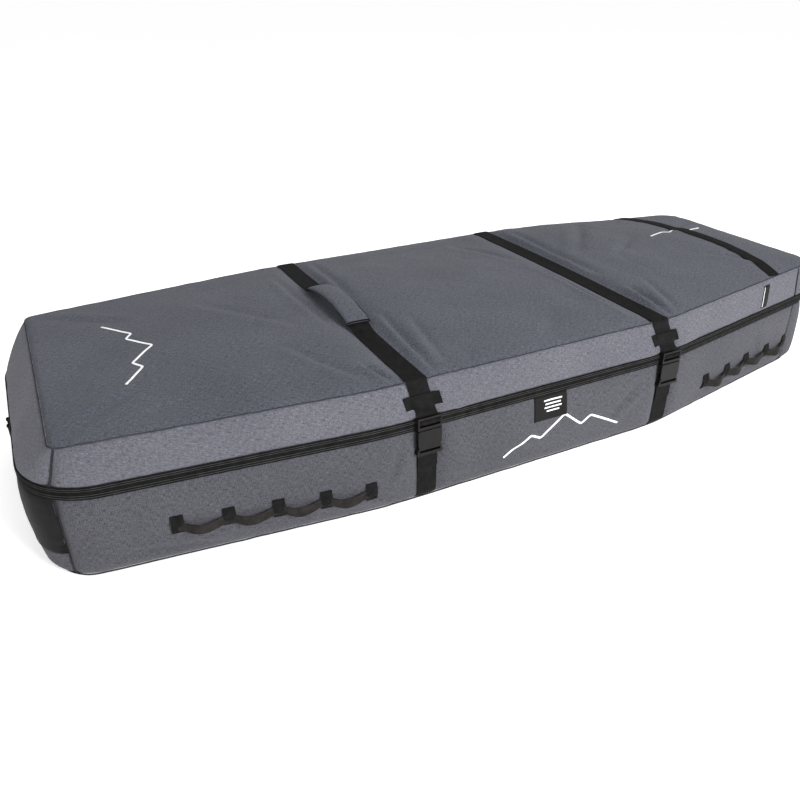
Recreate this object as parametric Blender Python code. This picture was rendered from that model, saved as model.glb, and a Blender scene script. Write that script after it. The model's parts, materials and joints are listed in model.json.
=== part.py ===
"""A padded, tapered board bag for snowboards, as separate sewn panels, webbing and hardware.

The frame is in metres with +Z up and the origin on the ground under the middle of the bag. +X runs from the
tail end to the nose end and -Y is the front, where the straps are buckled. A lid, hinged along the back,
closes on a deep base with a zip round the other three sides.
"""

import math

import bmesh
import bpy
from mathutils import Matrix, Vector

# Overall size
LENGTH = 1.70
WIDTH = 0.65
TAIL_WIDTH = 0.532
NOSE_WIDTH = 0.446
ZIP_HEIGHT = 0.158
SEAM_HEIGHT = 0.239
CROWN = 0.016

# Plan of the sides: they run parallel between these two stations
TAPER_FROM = -0.3065
TAPER_TO = 0.2985
BEND = 0.05

# Ends and corners: the tail wall leans in towards the floor, where its corners are tighter
TAIL_CORNER = 0.120
NOSE_CORNER = 0.075
FLOOR_TAIL_IN = 0.018
FLOOR_TAIL_CORNER = 0.075
LID_TAIL_IN = 0.052
LID_NOSE_IN = 0.020
LID_SIDE_IN = 0.004
LID_CORNER = 0.022
NOSE_SEAM = 0.755

# The lid's crown grows from nothing at each end over these lengths
TAIL_RISE = 0.70
NOSE_RISE = 0.20

# Cloth and padding
GAP = 0.0004
PATCH = 0.0012
TAIL_PANEL_LOW = 0.045
FLOOR = 0.006
WALL = 0.008
GUSSET = 0.006
TOP_SKIN = 0.003
FOAM = 0.006
FOAM_GAP = 0.0016
TAPE = 0.0018
TAPE_HEIGHT = 0.009
ZIP_GAP = 0.003
WEB = 0.002

# Webbing and hardware
STRAP_WIDTH = 0.038
STRAP_STAND = 0.0015
RUN_HALF = 0.300
TURN = 0.004
TURN_PROUD = 0.0015
STRAP_STATIONS = (-0.2445, 0.278)
BUCKLE_STATIONS = (-0.2265, 0.310)
SLANT_TOP = 0.235
NOSE_STRAP_STATION = 0.668
NOSE_STRAP_HALF = 0.253
NOSE_STRAP_BOW = 0.030
KEEPER_REACH = 0.031
KEEPER_THICK = 0.0014
BUCKLE_WIDTH = 0.045
BUCKLE_TOP = 0.173
BUCKLE_SPLIT = 0.150
BUCKLE_BOTTOM = 0.101
BUCKLE_OFF = 0.0032
BUCKLE_THICK = 0.0105
SLOT_HALF = 0.0195
HANDLE_LENGTH = 0.205
HANDLE_WIDTH = 0.044
HANDLE_THICK = 0.014
HANDLE_RISE = 0.014
HANDLE_Y = 0.013
HANDLE_SLACK = 0.0030
HANDLE_LEAD = 0.020
DAISY_LOOPS = 4
DAISY_PITCH = 0.079
DAISY_WEB = 0.018
DAISY_BULGE = 0.015
DAISY_SAG = 0.009
TAB_WIDTH = 0.020
TAB_HEIGHT = 0.032
TAB_THICK = 0.0016
SLIDER_Y = 0.012
PULL_THICK = 0.0024
RING_WIRE = 0.0022
RING_Y = -0.145
RING_PIN_Z = 0.088

# Labels, as the middle's station and height, then half the width and half the height
CARE_LABEL = (0.029, 0.122, 0.036, 0.023)
SIZE_LABEL = (0.640, 0.201, 0.010, 0.025)

# Turns a cylinder's own axis onto Y
ACROSS = Matrix.Rotation(math.pi / 2, 4, "X")

BASE_TOP = ZIP_HEIGHT - ZIP_GAP / 2 - TAPE_HEIGHT - GAP
LID_BOTTOM = ZIP_HEIGHT + ZIP_GAP / 2 + TAPE_HEIGHT + GAP

GREY = (0.105, 0.115, 0.140)
DARK_GREY = (0.060, 0.065, 0.080)
BLACK = (0.012, 0.012, 0.014)


def clear_scene():
    for item in list(bpy.data.objects):
        bpy.data.objects.remove(item, do_unlink=True)


def collection(name):
    made = bpy.data.collections.new(name)
    bpy.context.scene.collection.children.link(made)
    return made


def material(name, colour, roughness, metallic=0.0):
    made = bpy.data.materials.new(name)
    made.use_nodes = True
    shader = made.node_tree.nodes["Principled BSDF"]
    shader.inputs["Base Color"].default_value = (*colour, 1.0)
    shader.inputs["Roughness"].default_value = roughness
    shader.inputs["Metallic"].default_value = metallic
    return made


clear_scene()
BAG = collection("snowboard_bag")
CUTTERS = collection("cutters")
CUTTERS.hide_render = True
CLOTH = material("heather_cloth", GREY, 0.9)
LINING = material("lining_foam", DARK_GREY, 0.95)
WEBBING = material("webbing", BLACK, 0.75)
PLASTIC = material("black_plastic", BLACK, 0.4)
COATED = material("coated_cloth", BLACK, 0.6)


# --- Solids -------------------------------------------------------------------------------------


def add_object(name, shape, finish, place=Matrix(), where=None):
    """A named object from a bmesh, with its normals turned out."""
    bmesh.ops.recalc_face_normals(shape, faces=shape.faces)
    mesh = bpy.data.meshes.new(name)
    shape.to_mesh(mesh)
    shape.free()
    mesh.materials.append(finish)
    made = bpy.data.objects.new(name, mesh)
    made.matrix_world = place
    (where or BAG).objects.link(made)
    return made


def loft(name, rings, finish):
    """A closed solid through a row of rings with the same number of corners, capped at both ends."""
    shape = bmesh.new()
    rows = [[shape.verts.new(corner) for corner in ring] for ring in rings]
    count = len(rows[0])
    for low, high in zip(rows, rows[1:]):
        for i in range(count):
            j = (i + 1) % count
            shape.faces.new((low[i], low[j], high[j], high[i]))
    shape.faces.new(rows[0])
    shape.faces.new(list(reversed(rows[-1])))
    return add_object(name, shape, finish)


def add_box(shape, low, high):
    """One box between two corners, added to a bmesh."""
    middle = (Vector(low) + Vector(high)) / 2
    size = Vector(high) - Vector(low)
    place = Matrix.Translation(middle) @ Matrix.Diagonal((*size, 1.0))
    bmesh.ops.create_cube(shape, size=1.0, matrix=place)


def box(name, low, high, finish, place=Matrix(), where=None):
    shape = bmesh.new()
    add_box(shape, low, high)
    return add_object(name, shape, finish, place, where)


def boolean(target, other, operation):
    step = target.modifiers.new(f"{operation.lower()}_{other.name}", "BOOLEAN")
    step.operation = operation
    step.object = other
    step.solver = "EXACT"
    other.hide_render = True
    other.display_type = "WIRE"


def cutter_box(name, low, high, place=Matrix()):
    return box(name, low, high, PLASTIC, place, CUTTERS)


def cylinder(name, radius, length, place, finish, where=None):
    """A cylinder along its own Z, centred on its place."""
    shape = bmesh.new()
    bmesh.ops.create_cone(
        shape, cap_ends=True, segments=20, radius1=radius, radius2=radius, depth=length
    )
    return add_object(name, shape, finish, place, where)


# --- The bag's plan -----------------------------------------------------------------------------


def smooth_min(a, b, width):
    """The smaller of two numbers, with a rounded change from one to the other."""
    h = max(width - abs(a - b), 0.0) / width
    return min(a, b) - h * h * width / 4


TAIL_SLOPE = (WIDTH - TAIL_WIDTH) / 2 / (TAPER_FROM + LENGTH / 2)
NOSE_SLOPE = (WIDTH - NOSE_WIDTH) / 2 / (LENGTH / 2 - TAPER_TO)


def half_width(x):
    """Half the bag's width at a station."""
    tail = TAIL_WIDTH / 2 + TAIL_SLOPE * (x + LENGTH / 2)
    nose = NOSE_WIDTH / 2 + NOSE_SLOPE * (LENGTH / 2 - x)
    middle = smooth_min(WIDTH / 2, tail, BEND * TAIL_SLOPE)
    return smooth_min(middle, nose, BEND * NOSE_SLOPE)


def corner(end_x, toward, radius, slope, side_in):
    """The arc of the front corner at one end, as (point, outward normal) from the end to the side."""
    lean = math.atan(slope)
    centre_x = end_x + toward * radius
    side = half_width(centre_x) - side_in
    centre_y = -(side - radius / math.cos(lean))
    points = []
    for i in range(ARC_STEPS + 1):
        angle = (math.pi / 2 - lean) * i / ARC_STEPS
        normal = (-toward * math.cos(angle), -math.sin(angle))
        points.append(((centre_x + radius * normal[0], centre_y + radius * normal[1]), normal))
    return points


BEND_STEPS = (-0.025, -0.008, 0.008, 0.025)
SIDE_STATIONS = (
    [-0.70, -0.66, -0.59, -0.45]
    + [TAPER_FROM + step for step in BEND_STEPS]
    + [0.0]
    + [TAPER_TO + step for step in BEND_STEPS]
    + [0.45, 0.62, 0.69, NOSE_SEAM - 0.008, NOSE_SEAM, NOSE_SEAM + 0.008]
)
END_SHARES = (0.0, 0.35, 0.7)
ARC_STEPS = 8


def front_half(tail_in=0.0, nose_in=0.0, side_in=0.0, tail_corner=TAIL_CORNER, nose_corner=NOSE_CORNER):
    """The front half of an outline from the tail's middle to the nose's, as (point, normal) pairs."""
    tail_x, nose_x = -LENGTH / 2 + tail_in, LENGTH / 2 - nose_in
    tail_arc = corner(tail_x, 1, tail_corner, TAIL_SLOPE, side_in)
    nose_arc = corner(nose_x, -1, nose_corner, NOSE_SLOPE, side_in)
    points = []
    for share in END_SHARES:
        points.append(((tail_x, tail_arc[0][0][1] * share), (-1.0, 0.0)))
    points += tail_arc
    for x in SIDE_STATIONS:
        rise = (half_width(x + 0.002) - half_width(x - 0.002)) / 0.004
        scale = math.hypot(1.0, rise)
        points.append(((x, -(half_width(x) - side_in)), (-rise / scale, -1.0 / scale)))
    points += reversed(nose_arc)
    for share in reversed(END_SHARES):
        points.append(((nose_x, nose_arc[0][0][1] * share), (1.0, 0.0)))
    return points


def mirrored(pair):
    (x, y), (nx, ny) = pair
    return (x, -y), (nx, -ny)


def whole(half):
    """The closed outline: the front half, then its mirror image from nose back to tail."""
    return half + [mirrored(pair) for pair in reversed(half[1:-1])]


BASE_HALF = front_half()
FLOOR_HALF = front_half(tail_in=FLOOR_TAIL_IN, tail_corner=FLOOR_TAIL_CORNER)
LID_HALF = front_half(LID_TAIL_IN, LID_NOSE_IN, LID_SIDE_IN, LID_CORNER, NOSE_CORNER * 0.8)
BASE_PLAN = whole(BASE_HALF)
FLOOR_PLAN = whole(FLOOR_HALF)
LID_PLAN = whole(LID_HALF)
TOTAL = len(BASE_PLAN)

# The end seams: down the middle of the tail's corners, and just inside the nose's
FIRST_SIDE = len(END_SHARES) + ARC_STEPS + 1
TAIL_SEAM_AT = len(END_SHARES) + ARC_STEPS // 2
NOSE_SEAM_AT = FIRST_SIDE + SIDE_STATIONS.index(NOSE_SEAM)


def moved_in(pair, distance):
    (x, y), (nx, ny) = pair
    return x - nx * distance, y - ny * distance


def between(a, b, share):
    """A plan pair part of the way from one outline to another."""
    point = tuple(p + (q - p) * share for p, q in zip(a[0], b[0]))
    return point, a[1]


def along_seam(pair, distance):
    """A plan pair moved along its outline, to leave room for its neighbour across a seam."""
    (x, y), (nx, ny) = pair
    return (x - ny * distance, y + nx * distance), (nx, ny)


def lid_share(z):
    """How far a height is up the lid's sides, from 0 at the zip to 1 at the top seam."""
    return min(1.0, max(0.0, (z - LID_BOTTOM) / (SEAM_HEIGHT - LID_BOTTOM)))


def floor_share(z):
    """How far a height is down the base's walls, from 0 at their top to 1 at the ground."""
    return min(1.0, max(0.0, 1 - z / BASE_TOP))


def tail_wall_x(z):
    """Where the middle of the tail wall stands at a height."""
    return -LENGTH / 2 + FLOOR_TAIL_IN * floor_share(z)


def strip(name, indices, low, high, thickness, finish, lid=False, out=0.0):
    """A panel that follows the plan between two heights.

    It leans from the zip's outline to the top seam's on the lid, and to the floor's on the base.
    """
    rings = []
    for step, index in enumerate(indices):
        pairs = []
        for z in (low, high):
            pair = between(BASE_PLAN[index % TOTAL], FLOOR_PLAN[index % TOTAL], floor_share(z))
            if lid:
                pair = between(pair, LID_PLAN[index % TOTAL], lid_share(z))
            if step == 0:
                pair = along_seam(pair, GAP)
            if step == len(indices) - 1:
                pair = along_seam(pair, -GAP)
            pairs.append(pair)
        corners = [
            (*moved_in(pairs[0], -out), low),
            (*moved_in(pairs[1], -out), high),
            (*moved_in(pairs[1], thickness - out), high),
            (*moved_in(pairs[0], thickness - out), low),
        ]
        rings.append(corners)
    return loft(name, rings, finish)


FRONT_SIDE = range(TAIL_SEAM_AT, NOSE_SEAM_AT + 1)
BACK_SIDE = range(TOTAL - NOSE_SEAM_AT, TOTAL - TAIL_SEAM_AT + 1)
NOSE_END = range(NOSE_SEAM_AT, TOTAL - NOSE_SEAM_AT + 1)
TAIL_END = range(TOTAL - TAIL_SEAM_AT, TOTAL + TAIL_SEAM_AT + 1)
ZIP_RUN = range(TOTAL - TAIL_SEAM_AT, TOTAL + TOTAL - NOSE_SEAM_AT + 1)


# --- The lid's top ------------------------------------------------------------------------------


def lid_height(x, y):
    """Height of the lid's crowned top."""
    tail_x, nose_x = -LENGTH / 2 + LID_TAIL_IN, LENGTH / 2 - LID_NOSE_IN
    half = half_width(min(max(x, tail_x), nose_x)) - LID_SIDE_IN
    across = max(0.0, 1 - (y / half) ** 2)
    end = min(1.0, max(0.0, min((x - tail_x) / TAIL_RISE, (nose_x - x) / NOSE_RISE)))
    return SEAM_HEIGHT + CROWN * across * (1 - (1 - end) ** 2)


def sheet(name, half, drop, thickness, finish, inset=0.0, crowned=True, height=0.0):
    """A level or crowned sheet inside an outline, as cross-strips from tail to nose."""
    columns = 8 if crowned else 1
    start = len(END_SHARES)
    rings = []
    for pair in half[start : len(half) - start]:
        (x, y), (nx, _) = pair
        x -= nx * inset
        edge = -y - inset
        top, under = [], []
        for i in range(columns + 1):
            across = -edge + 2 * edge * i / columns
            z = (lid_height(x, across) if crowned else height) - drop
            top.append((x, across, z))
            under.append((x, across, z - thickness))
        rings.append(top + under[::-1])
    return loft(name, rings, finish)


# --- Panels -------------------------------------------------------------------------------------


def make_base():
    sheet("base_floor", FLOOR_HALF, 0, FLOOR, COATED, crowned=False, height=FLOOR)
    foam_top = FLOOR + GAP + FOAM
    sheet("floor_foam", FLOOR_HALF, 0, FOAM, LINING, WALL + 0.002, False, foam_top)
    low = FLOOR + GAP
    strip("front_wall", FRONT_SIDE, low, BASE_TOP, WALL, CLOTH)
    strip("back_wall", BACK_SIDE, low, BASE_TOP, WALL, CLOTH)
    strip("nose_wall", NOSE_END, low, BASE_TOP, WALL, CLOTH)
    strip("tail_wall", TAIL_END, low, BASE_TOP, WALL, CLOTH)
    strip("tail_panel", TAIL_END, TAIL_PANEL_LOW, BASE_TOP, PATCH, COATED, out=PATCH + GAP)
    tape_low = BASE_TOP + GAP
    strip("lower_zip_tape", ZIP_RUN, tape_low, tape_low + TAPE_HEIGHT, TAPE, WEBBING)
    strip("hinge_strip", BACK_SIDE, tape_low, ZIP_HEIGHT, 0.003, COATED)


def make_lid():
    sheet("lid_top_panel", LID_HALF, 0, TOP_SKIN, CLOTH)
    sheet("lid_foam", LID_HALF, TOP_SKIN + FOAM_GAP, FOAM, LINING, GUSSET + 0.003)
    high = SEAM_HEIGHT - TOP_SKIN - GAP
    back_low = ZIP_HEIGHT + GAP
    strip("lid_front_gusset", FRONT_SIDE, LID_BOTTOM, high, GUSSET, CLOTH, lid=True)
    strip("lid_back_gusset", BACK_SIDE, back_low, high, GUSSET, CLOTH, lid=True)
    strip("lid_nose_gusset", NOSE_END, LID_BOTTOM, high, GUSSET, CLOTH, lid=True)
    strip("lid_tail_gusset", TAIL_END, LID_BOTTOM, high, GUSSET, CLOTH, lid=True)
    tape_low = LID_BOTTOM - GAP - TAPE_HEIGHT
    strip("upper_zip_tape", ZIP_RUN, tape_low, tape_low + TAPE_HEIGHT, TAPE, WEBBING)


# --- Straps over the bag ------------------------------------------------------------------------


def ribbon(name, path, across, width, finish, thickness=WEB):
    """Flat webbing along (point, outward direction) pairs: its underside lies on the points."""
    side = Vector(across).normalized() * width / 2
    rings = []
    for point, out in path:
        point = Vector(point)
        rise = Vector(out).normalized() * thickness
        rings.append([point - side, point + side, point + side + rise, point - side + rise])
    return loft(name, rings, finish)


def face_y(x, z, clearance=GAP, half=STRAP_WIDTH / 2):
    """How far out the front or back of the closed bag reaches at a height, over a strap's width."""
    reach = max(half_width(x - half), half_width(x + half))
    return reach - LID_SIDE_IN * lid_share(z) + clearance


def seam_turn(x, side):
    """The strap's small round turn over the lid's seam, from the side up onto the top."""
    arc = []
    for i in range(6):
        angle = math.pi / 2 * i / 5
        y = face_y(x, SEAM_HEIGHT) + TURN_PROUD - TURN + TURN * math.cos(angle)
        z = SEAM_HEIGHT + TURN_PROUD - TURN + TURN * math.sin(angle)
        arc.append(((x, side * y, z), (0, side * math.cos(angle), math.sin(angle))))
    return arc


def slant_x(x, buckle_x, z):
    """The strap's station down the front gusset, where it runs at a slant to its buckle."""
    share = (SLANT_TOP - z) / (SLANT_TOP - BUCKLE_TOP)
    return x + (buckle_x - x) * min(1.0, max(0.0, share))


def top_run(x, buckle_x, handle):
    """The strap's path over the lid, from the back of the hinge to the top of the buckle."""
    path = [((x, face_y(x, z), z), (0, 1, 0)) for z in (ZIP_HEIGHT + GAP, 0.190, 0.225)]
    path += seam_turn(x, 1)
    path += [((x, y, top_height(x, y, handle)), (0, 0, 1)) for y in run_stations(handle)]
    path += reversed(seam_turn(x, -1))
    for z in (0.225, 0.200, BUCKLE_TOP + 0.003):
        slanted = slant_x(x, buckle_x, z)
        path.append(((slanted, -face_y(slanted, z), z), (0, -1, 0)))
    return path


def run_stations(handle):
    """Where the strap's path has a point, from back to front."""
    count = 24 if handle else 10
    return [RUN_HALF - 2 * RUN_HALF * i / count for i in range(count + 1)]


def top_height(x, y, handle):
    """Height of the strap over the lid: it lifts off into the handle where there is one."""
    z = lid_height(x, y) + STRAP_STAND
    if handle:
        reach = HANDLE_LENGTH / 2 + HANDLE_LEAD
        share = max(0.0, 1 - ((y - HANDLE_Y) / reach) ** 2)
        z += (HANDLE_RISE + HANDLE_THICK / 2) * share**0.75
    return z


def make_straps():
    for number, (x, buckle_x) in enumerate(zip(STRAP_STATIONS, BUCKLE_STATIONS), 1):
        low = FLOOR + GAP
        front = [((buckle_x, -face_y(buckle_x, z), z), (0, -1, 0)) for z in (low, 0.106)]
        back = [((x, face_y(x, z), z), (0, 1, 0)) for z in (low, ZIP_HEIGHT - GAP)]
        across = (1, 0, 0)
        ribbon(f"strap_{number}_front", front, across, STRAP_WIDTH, WEBBING)
        ribbon(f"strap_{number}_back", back, across, STRAP_WIDTH, WEBBING)
        ribbon(f"strap_{number}_top", top_run(x, buckle_x, number == 1), across, STRAP_WIDTH, WEBBING)
        make_keeper(number, x, buckle_x)


def make_keeper(number, x, buckle_x):
    """A stitched band that the strap slides through, with a tab flat on the gusset at each side."""
    raised = WEB + 2 * GAP
    inner = STRAP_WIDTH / 2 + 0.0006
    foot = inner + 0.001
    half = [(inner, raised), (foot, 0), (KEEPER_REACH, 0)]
    under = [(-px, off) for px, off in reversed(half)] + half
    spread = 1.06
    over = [(px if abs(px) == KEEPER_REACH else px * spread, off + KEEPER_THICK) for px, off in under]
    outline = under + over[::-1]
    rings = []
    for z in (0.188, 0.213):
        middle = slant_x(x, buckle_x, z)
        face = face_y(middle, z, half=KEEPER_REACH)
        rings.append([(middle + px, -(face + off), z) for px, off in outline])
    loft(f"keeper_{number}", rings, WEBBING)


def make_handle():
    """The padded grip round the first strap, arched clear of the lid."""
    x = STRAP_STATIONS[0]
    shape = bmesh.new()
    slot_w, slot_t = STRAP_WIDTH + 4 * GAP, WEB + HANDLE_SLACK
    rows = []
    steps = 16
    for i in range(steps + 1):
        y = HANDLE_Y + HANDLE_LENGTH / 2 - HANDLE_LENGTH * i / steps
        ahead = top_height(x, y - 0.001, True) - top_height(x, y + 0.001, True)
        lean = math.atan2(ahead, 0.002)
        out = Vector((0, math.sin(lean), math.cos(lean)))
        middle = Vector((x, y, top_height(x, y, True))) + out * WEB / 2
        rounded = HANDLE_THICK * (0.75 + 0.25 * math.sin(math.pi * i / steps))
        ring = []
        for width, thick in ((HANDLE_WIDTH, rounded), (slot_w, slot_t)):
            for sx, sz in ((-1, -1), (1, -1), (1, 1), (-1, 1)):
                offset = Vector((sx * width / 2, 0, 0)) + out * sz * thick / 2
                ring.append(shape.verts.new(middle + offset))
        rows.append(ring)
    for a, b in zip(rows, rows[1:]):
        for start in (0, 4):
            for k in range(4):
                m, n = start + k, start + (k + 1) % 4
                shape.faces.new((a[m], a[n], b[n], b[m]))
    for row in (rows[0], rows[-1]):
        for k in range(4):
            n = (k + 1) % 4
            shape.faces.new((row[k], row[n], row[4 + n], row[4 + k]))
    add_object("handle_grip", shape, CLOTH)


def make_nose_strap():
    """Webbing sewn flat across the lid near the nose, a little nearer the nose at its middle."""
    path = []
    steps = 14
    for i in range(steps + 1):
        y = NOSE_STRAP_HALF * (2 * i / steps - 1)
        x = NOSE_STRAP_STATION + NOSE_STRAP_BOW * (1 - (y / NOSE_STRAP_HALF) ** 2)
        path.append(((x, y, lid_height(x, y) + STRAP_STAND), (0, 0, 1)))
    ribbon("nose_strap", path, (1, 0, 0), STRAP_WIDTH * 0.8, WEBBING, 0.0016)


# --- Buckles ------------------------------------------------------------------------------------


def make_buckles():
    for number, x in enumerate(BUCKLE_STATIONS, 1):
        face = -face_y(x, ZIP_HEIGHT, BUCKLE_OFF)
        make_socket(number, x, face)
        make_latch(number, x, face)
        for side, name in ((-1, "left"), (1, "right")):
            make_prong(number, x, face, side, name)


def make_socket(number, x, face):
    """The lower half: a hollow shell, open at the top and at its sides, with a bar for the webbing."""
    half, skin = BUCKLE_WIDTH / 2, 0.0018
    back, front = face, face - BUCKLE_THICK
    top, low = BUCKLE_SPLIT - 0.0015, BUCKLE_BOTTOM
    waist = low + 0.016
    flare = [(half - 0.002, waist), (half + 0.0025, low + 0.004), (half + 0.001, low)]
    side = [(half, top), (half, waist + 0.006)] + flare
    outline = [(-px, pz) for px, pz in side] + side[::-1]
    rings = [[(x + px, y, pz) for px, pz in outline] for y in (back, front)]
    socket = loft(f"socket_{number}", rings, PLASTIC)
    name = f"socket_{number}_cut_"
    inner, floor = half - 0.0028, waist + 0.002
    hollow = (front + skin, back - skin)
    through = (front - 0.01, back + 0.01)
    cuts = {
        "cavity": ((-inner, hollow[0], floor), (inner, hollow[1], top + 0.01)),
        "windows": ((-half - 0.01, hollow[0], floor), (half + 0.01, hollow[1], waist + 0.015)),
        "slot": ((-SLOT_HALF, through[0], low + 0.0055), (SLOT_HALF, through[1], low + 0.0105)),
    }
    for part, (start, stop) in cuts.items():
        cutter = cutter_box(name + part, (x + start[0], *start[1:]), (x + stop[0], *stop[1:]))
        boolean(socket, cutter, "DIFFERENCE")


def make_latch(number, x, face):
    """The upper half: a ladder-lock frame with two slots, and a guide tongue between the prongs."""
    half = BUCKLE_WIDTH / 2
    middle = face - BUCKLE_THICK / 2
    thin = 0.0030
    shape = bmesh.new()
    front_face, back_face = face - BUCKLE_THICK + 0.001, face - 0.0005
    add_box(shape, (x - half, front_face, BUCKLE_SPLIT), (x + half, back_face, BUCKLE_TOP))
    latch = add_object(f"latch_{number}", shape, PLASTIC)
    name = f"latch_{number}_"
    tongue_low = (x - 0.005, middle - thin / 2, BUCKLE_SPLIT - 0.025)
    tongue_high = (x + 0.005, middle + thin / 2, BUCKLE_SPLIT + 0.002)
    boolean(latch, cutter_box(name + "tongue", tongue_low, tongue_high), "UNION")
    front, back = face - BUCKLE_THICK - 0.01, face + 0.01
    for part, low, high in (("upper", 0.0145, 0.0195), ("lower", 0.0055, 0.0105)):
        slot_low = (x - SLOT_HALF, front, BUCKLE_SPLIT + low)
        slot_high = (x + SLOT_HALF, back, BUCKLE_SPLIT + high)
        boolean(latch, cutter_box(f"{name}{part}_slot", slot_low, slot_high), "DIFFERENCE")


def make_prong(number, x, face, side, name):
    """One sprung arm: its pad shows in the socket's window and is squeezed inwards to release it."""
    middle = face - BUCKLE_THICK / 2
    thin = 0.0032
    root, tip = BUCKLE_SPLIT - 0.0006, BUCKLE_BOTTOM + 0.0195
    outline = [
        (0.0125, root), (0.0165, root), (0.0178, tip + 0.013), (0.0192, tip + 0.010),
        (0.0192, tip + 0.003), (0.0172, tip), (0.0140, tip), (0.0125, tip + 0.010),
    ]
    rings = [[(x + side * px, y, pz) for px, pz in outline] for y in (middle - thin / 2, middle + thin / 2)]
    loft(f"prong_{number}_{name}", rings, PLASTIC)


# --- Webbing hand loops on the front wall -------------------------------------------------------


def make_daisy(name, start_x, slope, centre_z, fall):
    """A row of hand loops: one webbing strip held down by tabs, which falls a little towards the nose."""
    lean = math.atan(slope)
    along = Vector((math.cos(lean), -math.sin(lean), -fall))
    out = Vector((-math.sin(lean), -math.cos(lean), 0))
    start = Vector((start_x, -half_width(start_x), centre_z)) + out * GAP
    reach = TAB_WIDTH / 2 + 0.0005
    span = DAISY_PITCH - 2 * reach
    stations = [(-reach, 0.0)]
    for loop in range(DAISY_LOOPS):
        for j in range(11):
            stations.append((DAISY_PITCH * loop + reach + span * j / 10, math.sin(math.pi * j / 10)))
    stations.append((DAISY_PITCH * DAISY_LOOPS + reach, 0.0))
    rings = []
    for s, wave in stations:
        # Between its tabs each loop stands out by half a wave, and sags by the same share.
        low = start + along * s + out * DAISY_BULGE * wave + Vector((0, 0, -DAISY_SAG * wave))
        rise = Vector((0, 0, DAISY_WEB / 2))
        skin = out * WEB
        rings.append([low - rise, low + rise, low + rise + skin, low - rise + skin])
    loft(f"{name}_webbing", rings, WEBBING)
    for i in range(DAISY_LOOPS + 1):
        middle = start + along * DAISY_PITCH * i + out * (WEB + GAP)
        half, skin = along * TAB_WIDTH / 2, out * TAB_THICK
        tab = []
        for z in (-TAB_HEIGHT / 2, TAB_HEIGHT / 2):
            low = middle + Vector((0, 0, z))
            tab.append([low - half, low + half, low + half + skin, low - half + skin])
        loft(f"{name}_tab_{i + 1}", tab, WEBBING)


# --- Zip sliders, pulls and the ring ------------------------------------------------------------


def make_slider(number, side):
    """A zip slider parked at the middle of the tail: outer and inner plates, web and pull bridge."""
    y, z = side * SLIDER_Y, ZIP_HEIGHT
    half, tall, plate = 0.008, 0.0065, 0.0022
    outer, inner = -LENGTH / 2 - GAP, -LENGTH / 2 + TAPE + GAP
    shape = bmesh.new()
    add_box(shape, (outer - plate, y - half, z - tall), (outer, y + half, z + tall))
    slider = add_object(f"zip_slider_{number}", shape, PLASTIC)
    name = f"zip_slider_{number}_"
    web, post = 0.0020, 0.0012
    parts = {
        "web": ((outer - 0.001, y - web, z - web / 2), (inner + 0.001, y + web, z + web / 2)),
        "inner": ((inner, y - half, z - tall), (inner + 0.0016, y + half, z + tall)),
    }
    for end in (-1, 1):
        at = y + end * 0.0048
        low, high = (outer - 0.0066, at - post, z - post), (outer - 0.001, at + post, z + post)
        parts[f"post_{end + 2}"] = (low, high)
    for part, (low, high) in parts.items():
        boolean(slider, cutter_box(name + part, low, high), "UNION")
    pin_x = outer - 0.0056
    place = Matrix.Translation((pin_x, y, z)) @ ACROSS
    boolean(slider, cylinder(name + "pin", 0.0010, 0.0104, place, PLASTIC, CUTTERS), "UNION")
    return pin_x, y


def make_pull(number, pin_x, y):
    """The tab that hangs from a slider's bridge."""
    place = Matrix.Translation((pin_x, y, ZIP_HEIGHT)) @ ACROSS
    pull = cylinder(f"zip_pull_{number}", 0.0025, 0.0060, place, WEBBING)
    name = f"zip_pull_{number}_"
    for part, half, high, low in (("neck", 0.003, 0.0, 0.012), ("blade", 0.005, 0.010, 0.040)):
        corner_low = (pin_x - PULL_THICK / 2, y - half, ZIP_HEIGHT - low)
        corner_high = (pin_x + PULL_THICK / 2, y + half, ZIP_HEIGHT - high)
        boolean(pull, cutter_box(name + part, corner_low, corner_high), "UNION")
    boolean(pull, cylinder(name + "hole", 0.0015, 0.02, place, PLASTIC, CUTTERS), "DIFFERENCE")


def make_end_tab():
    """A webbing tab on the tail that carries a ring."""
    z = RING_PIN_Z
    top, low = z + 0.026, z - 0.004
    stand = PATCH + 3 * GAP
    loop_x = tail_wall_x(z) - stand - 0.0062
    half = 0.011
    outline = [
        (tail_wall_x(top) - stand, top), (tail_wall_x(low) - stand, low),
        (tail_wall_x(low) - stand - 0.0020, z - 0.0062), (loop_x - 0.0036, z - 0.0054),
        (loop_x - 0.0054, z), (loop_x - 0.0040, z + 0.006),
        (tail_wall_x(z + 0.016) - stand - 0.0036, z + 0.016), (tail_wall_x(top) - stand - 0.0030, top),
    ]
    rings = [[(px, RING_Y + side * half, pz) for px, pz in outline] for side in (-1, 1)]
    tab = loft("ring_tab", rings, WEBBING)
    place = Matrix.Translation((loop_x, RING_Y, z)) @ ACROSS
    boolean(tab, cylinder("ring_tab_eye", 0.0031, 0.05, place, PLASTIC, CUTTERS), "DIFFERENCE")
    return loop_x


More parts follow.
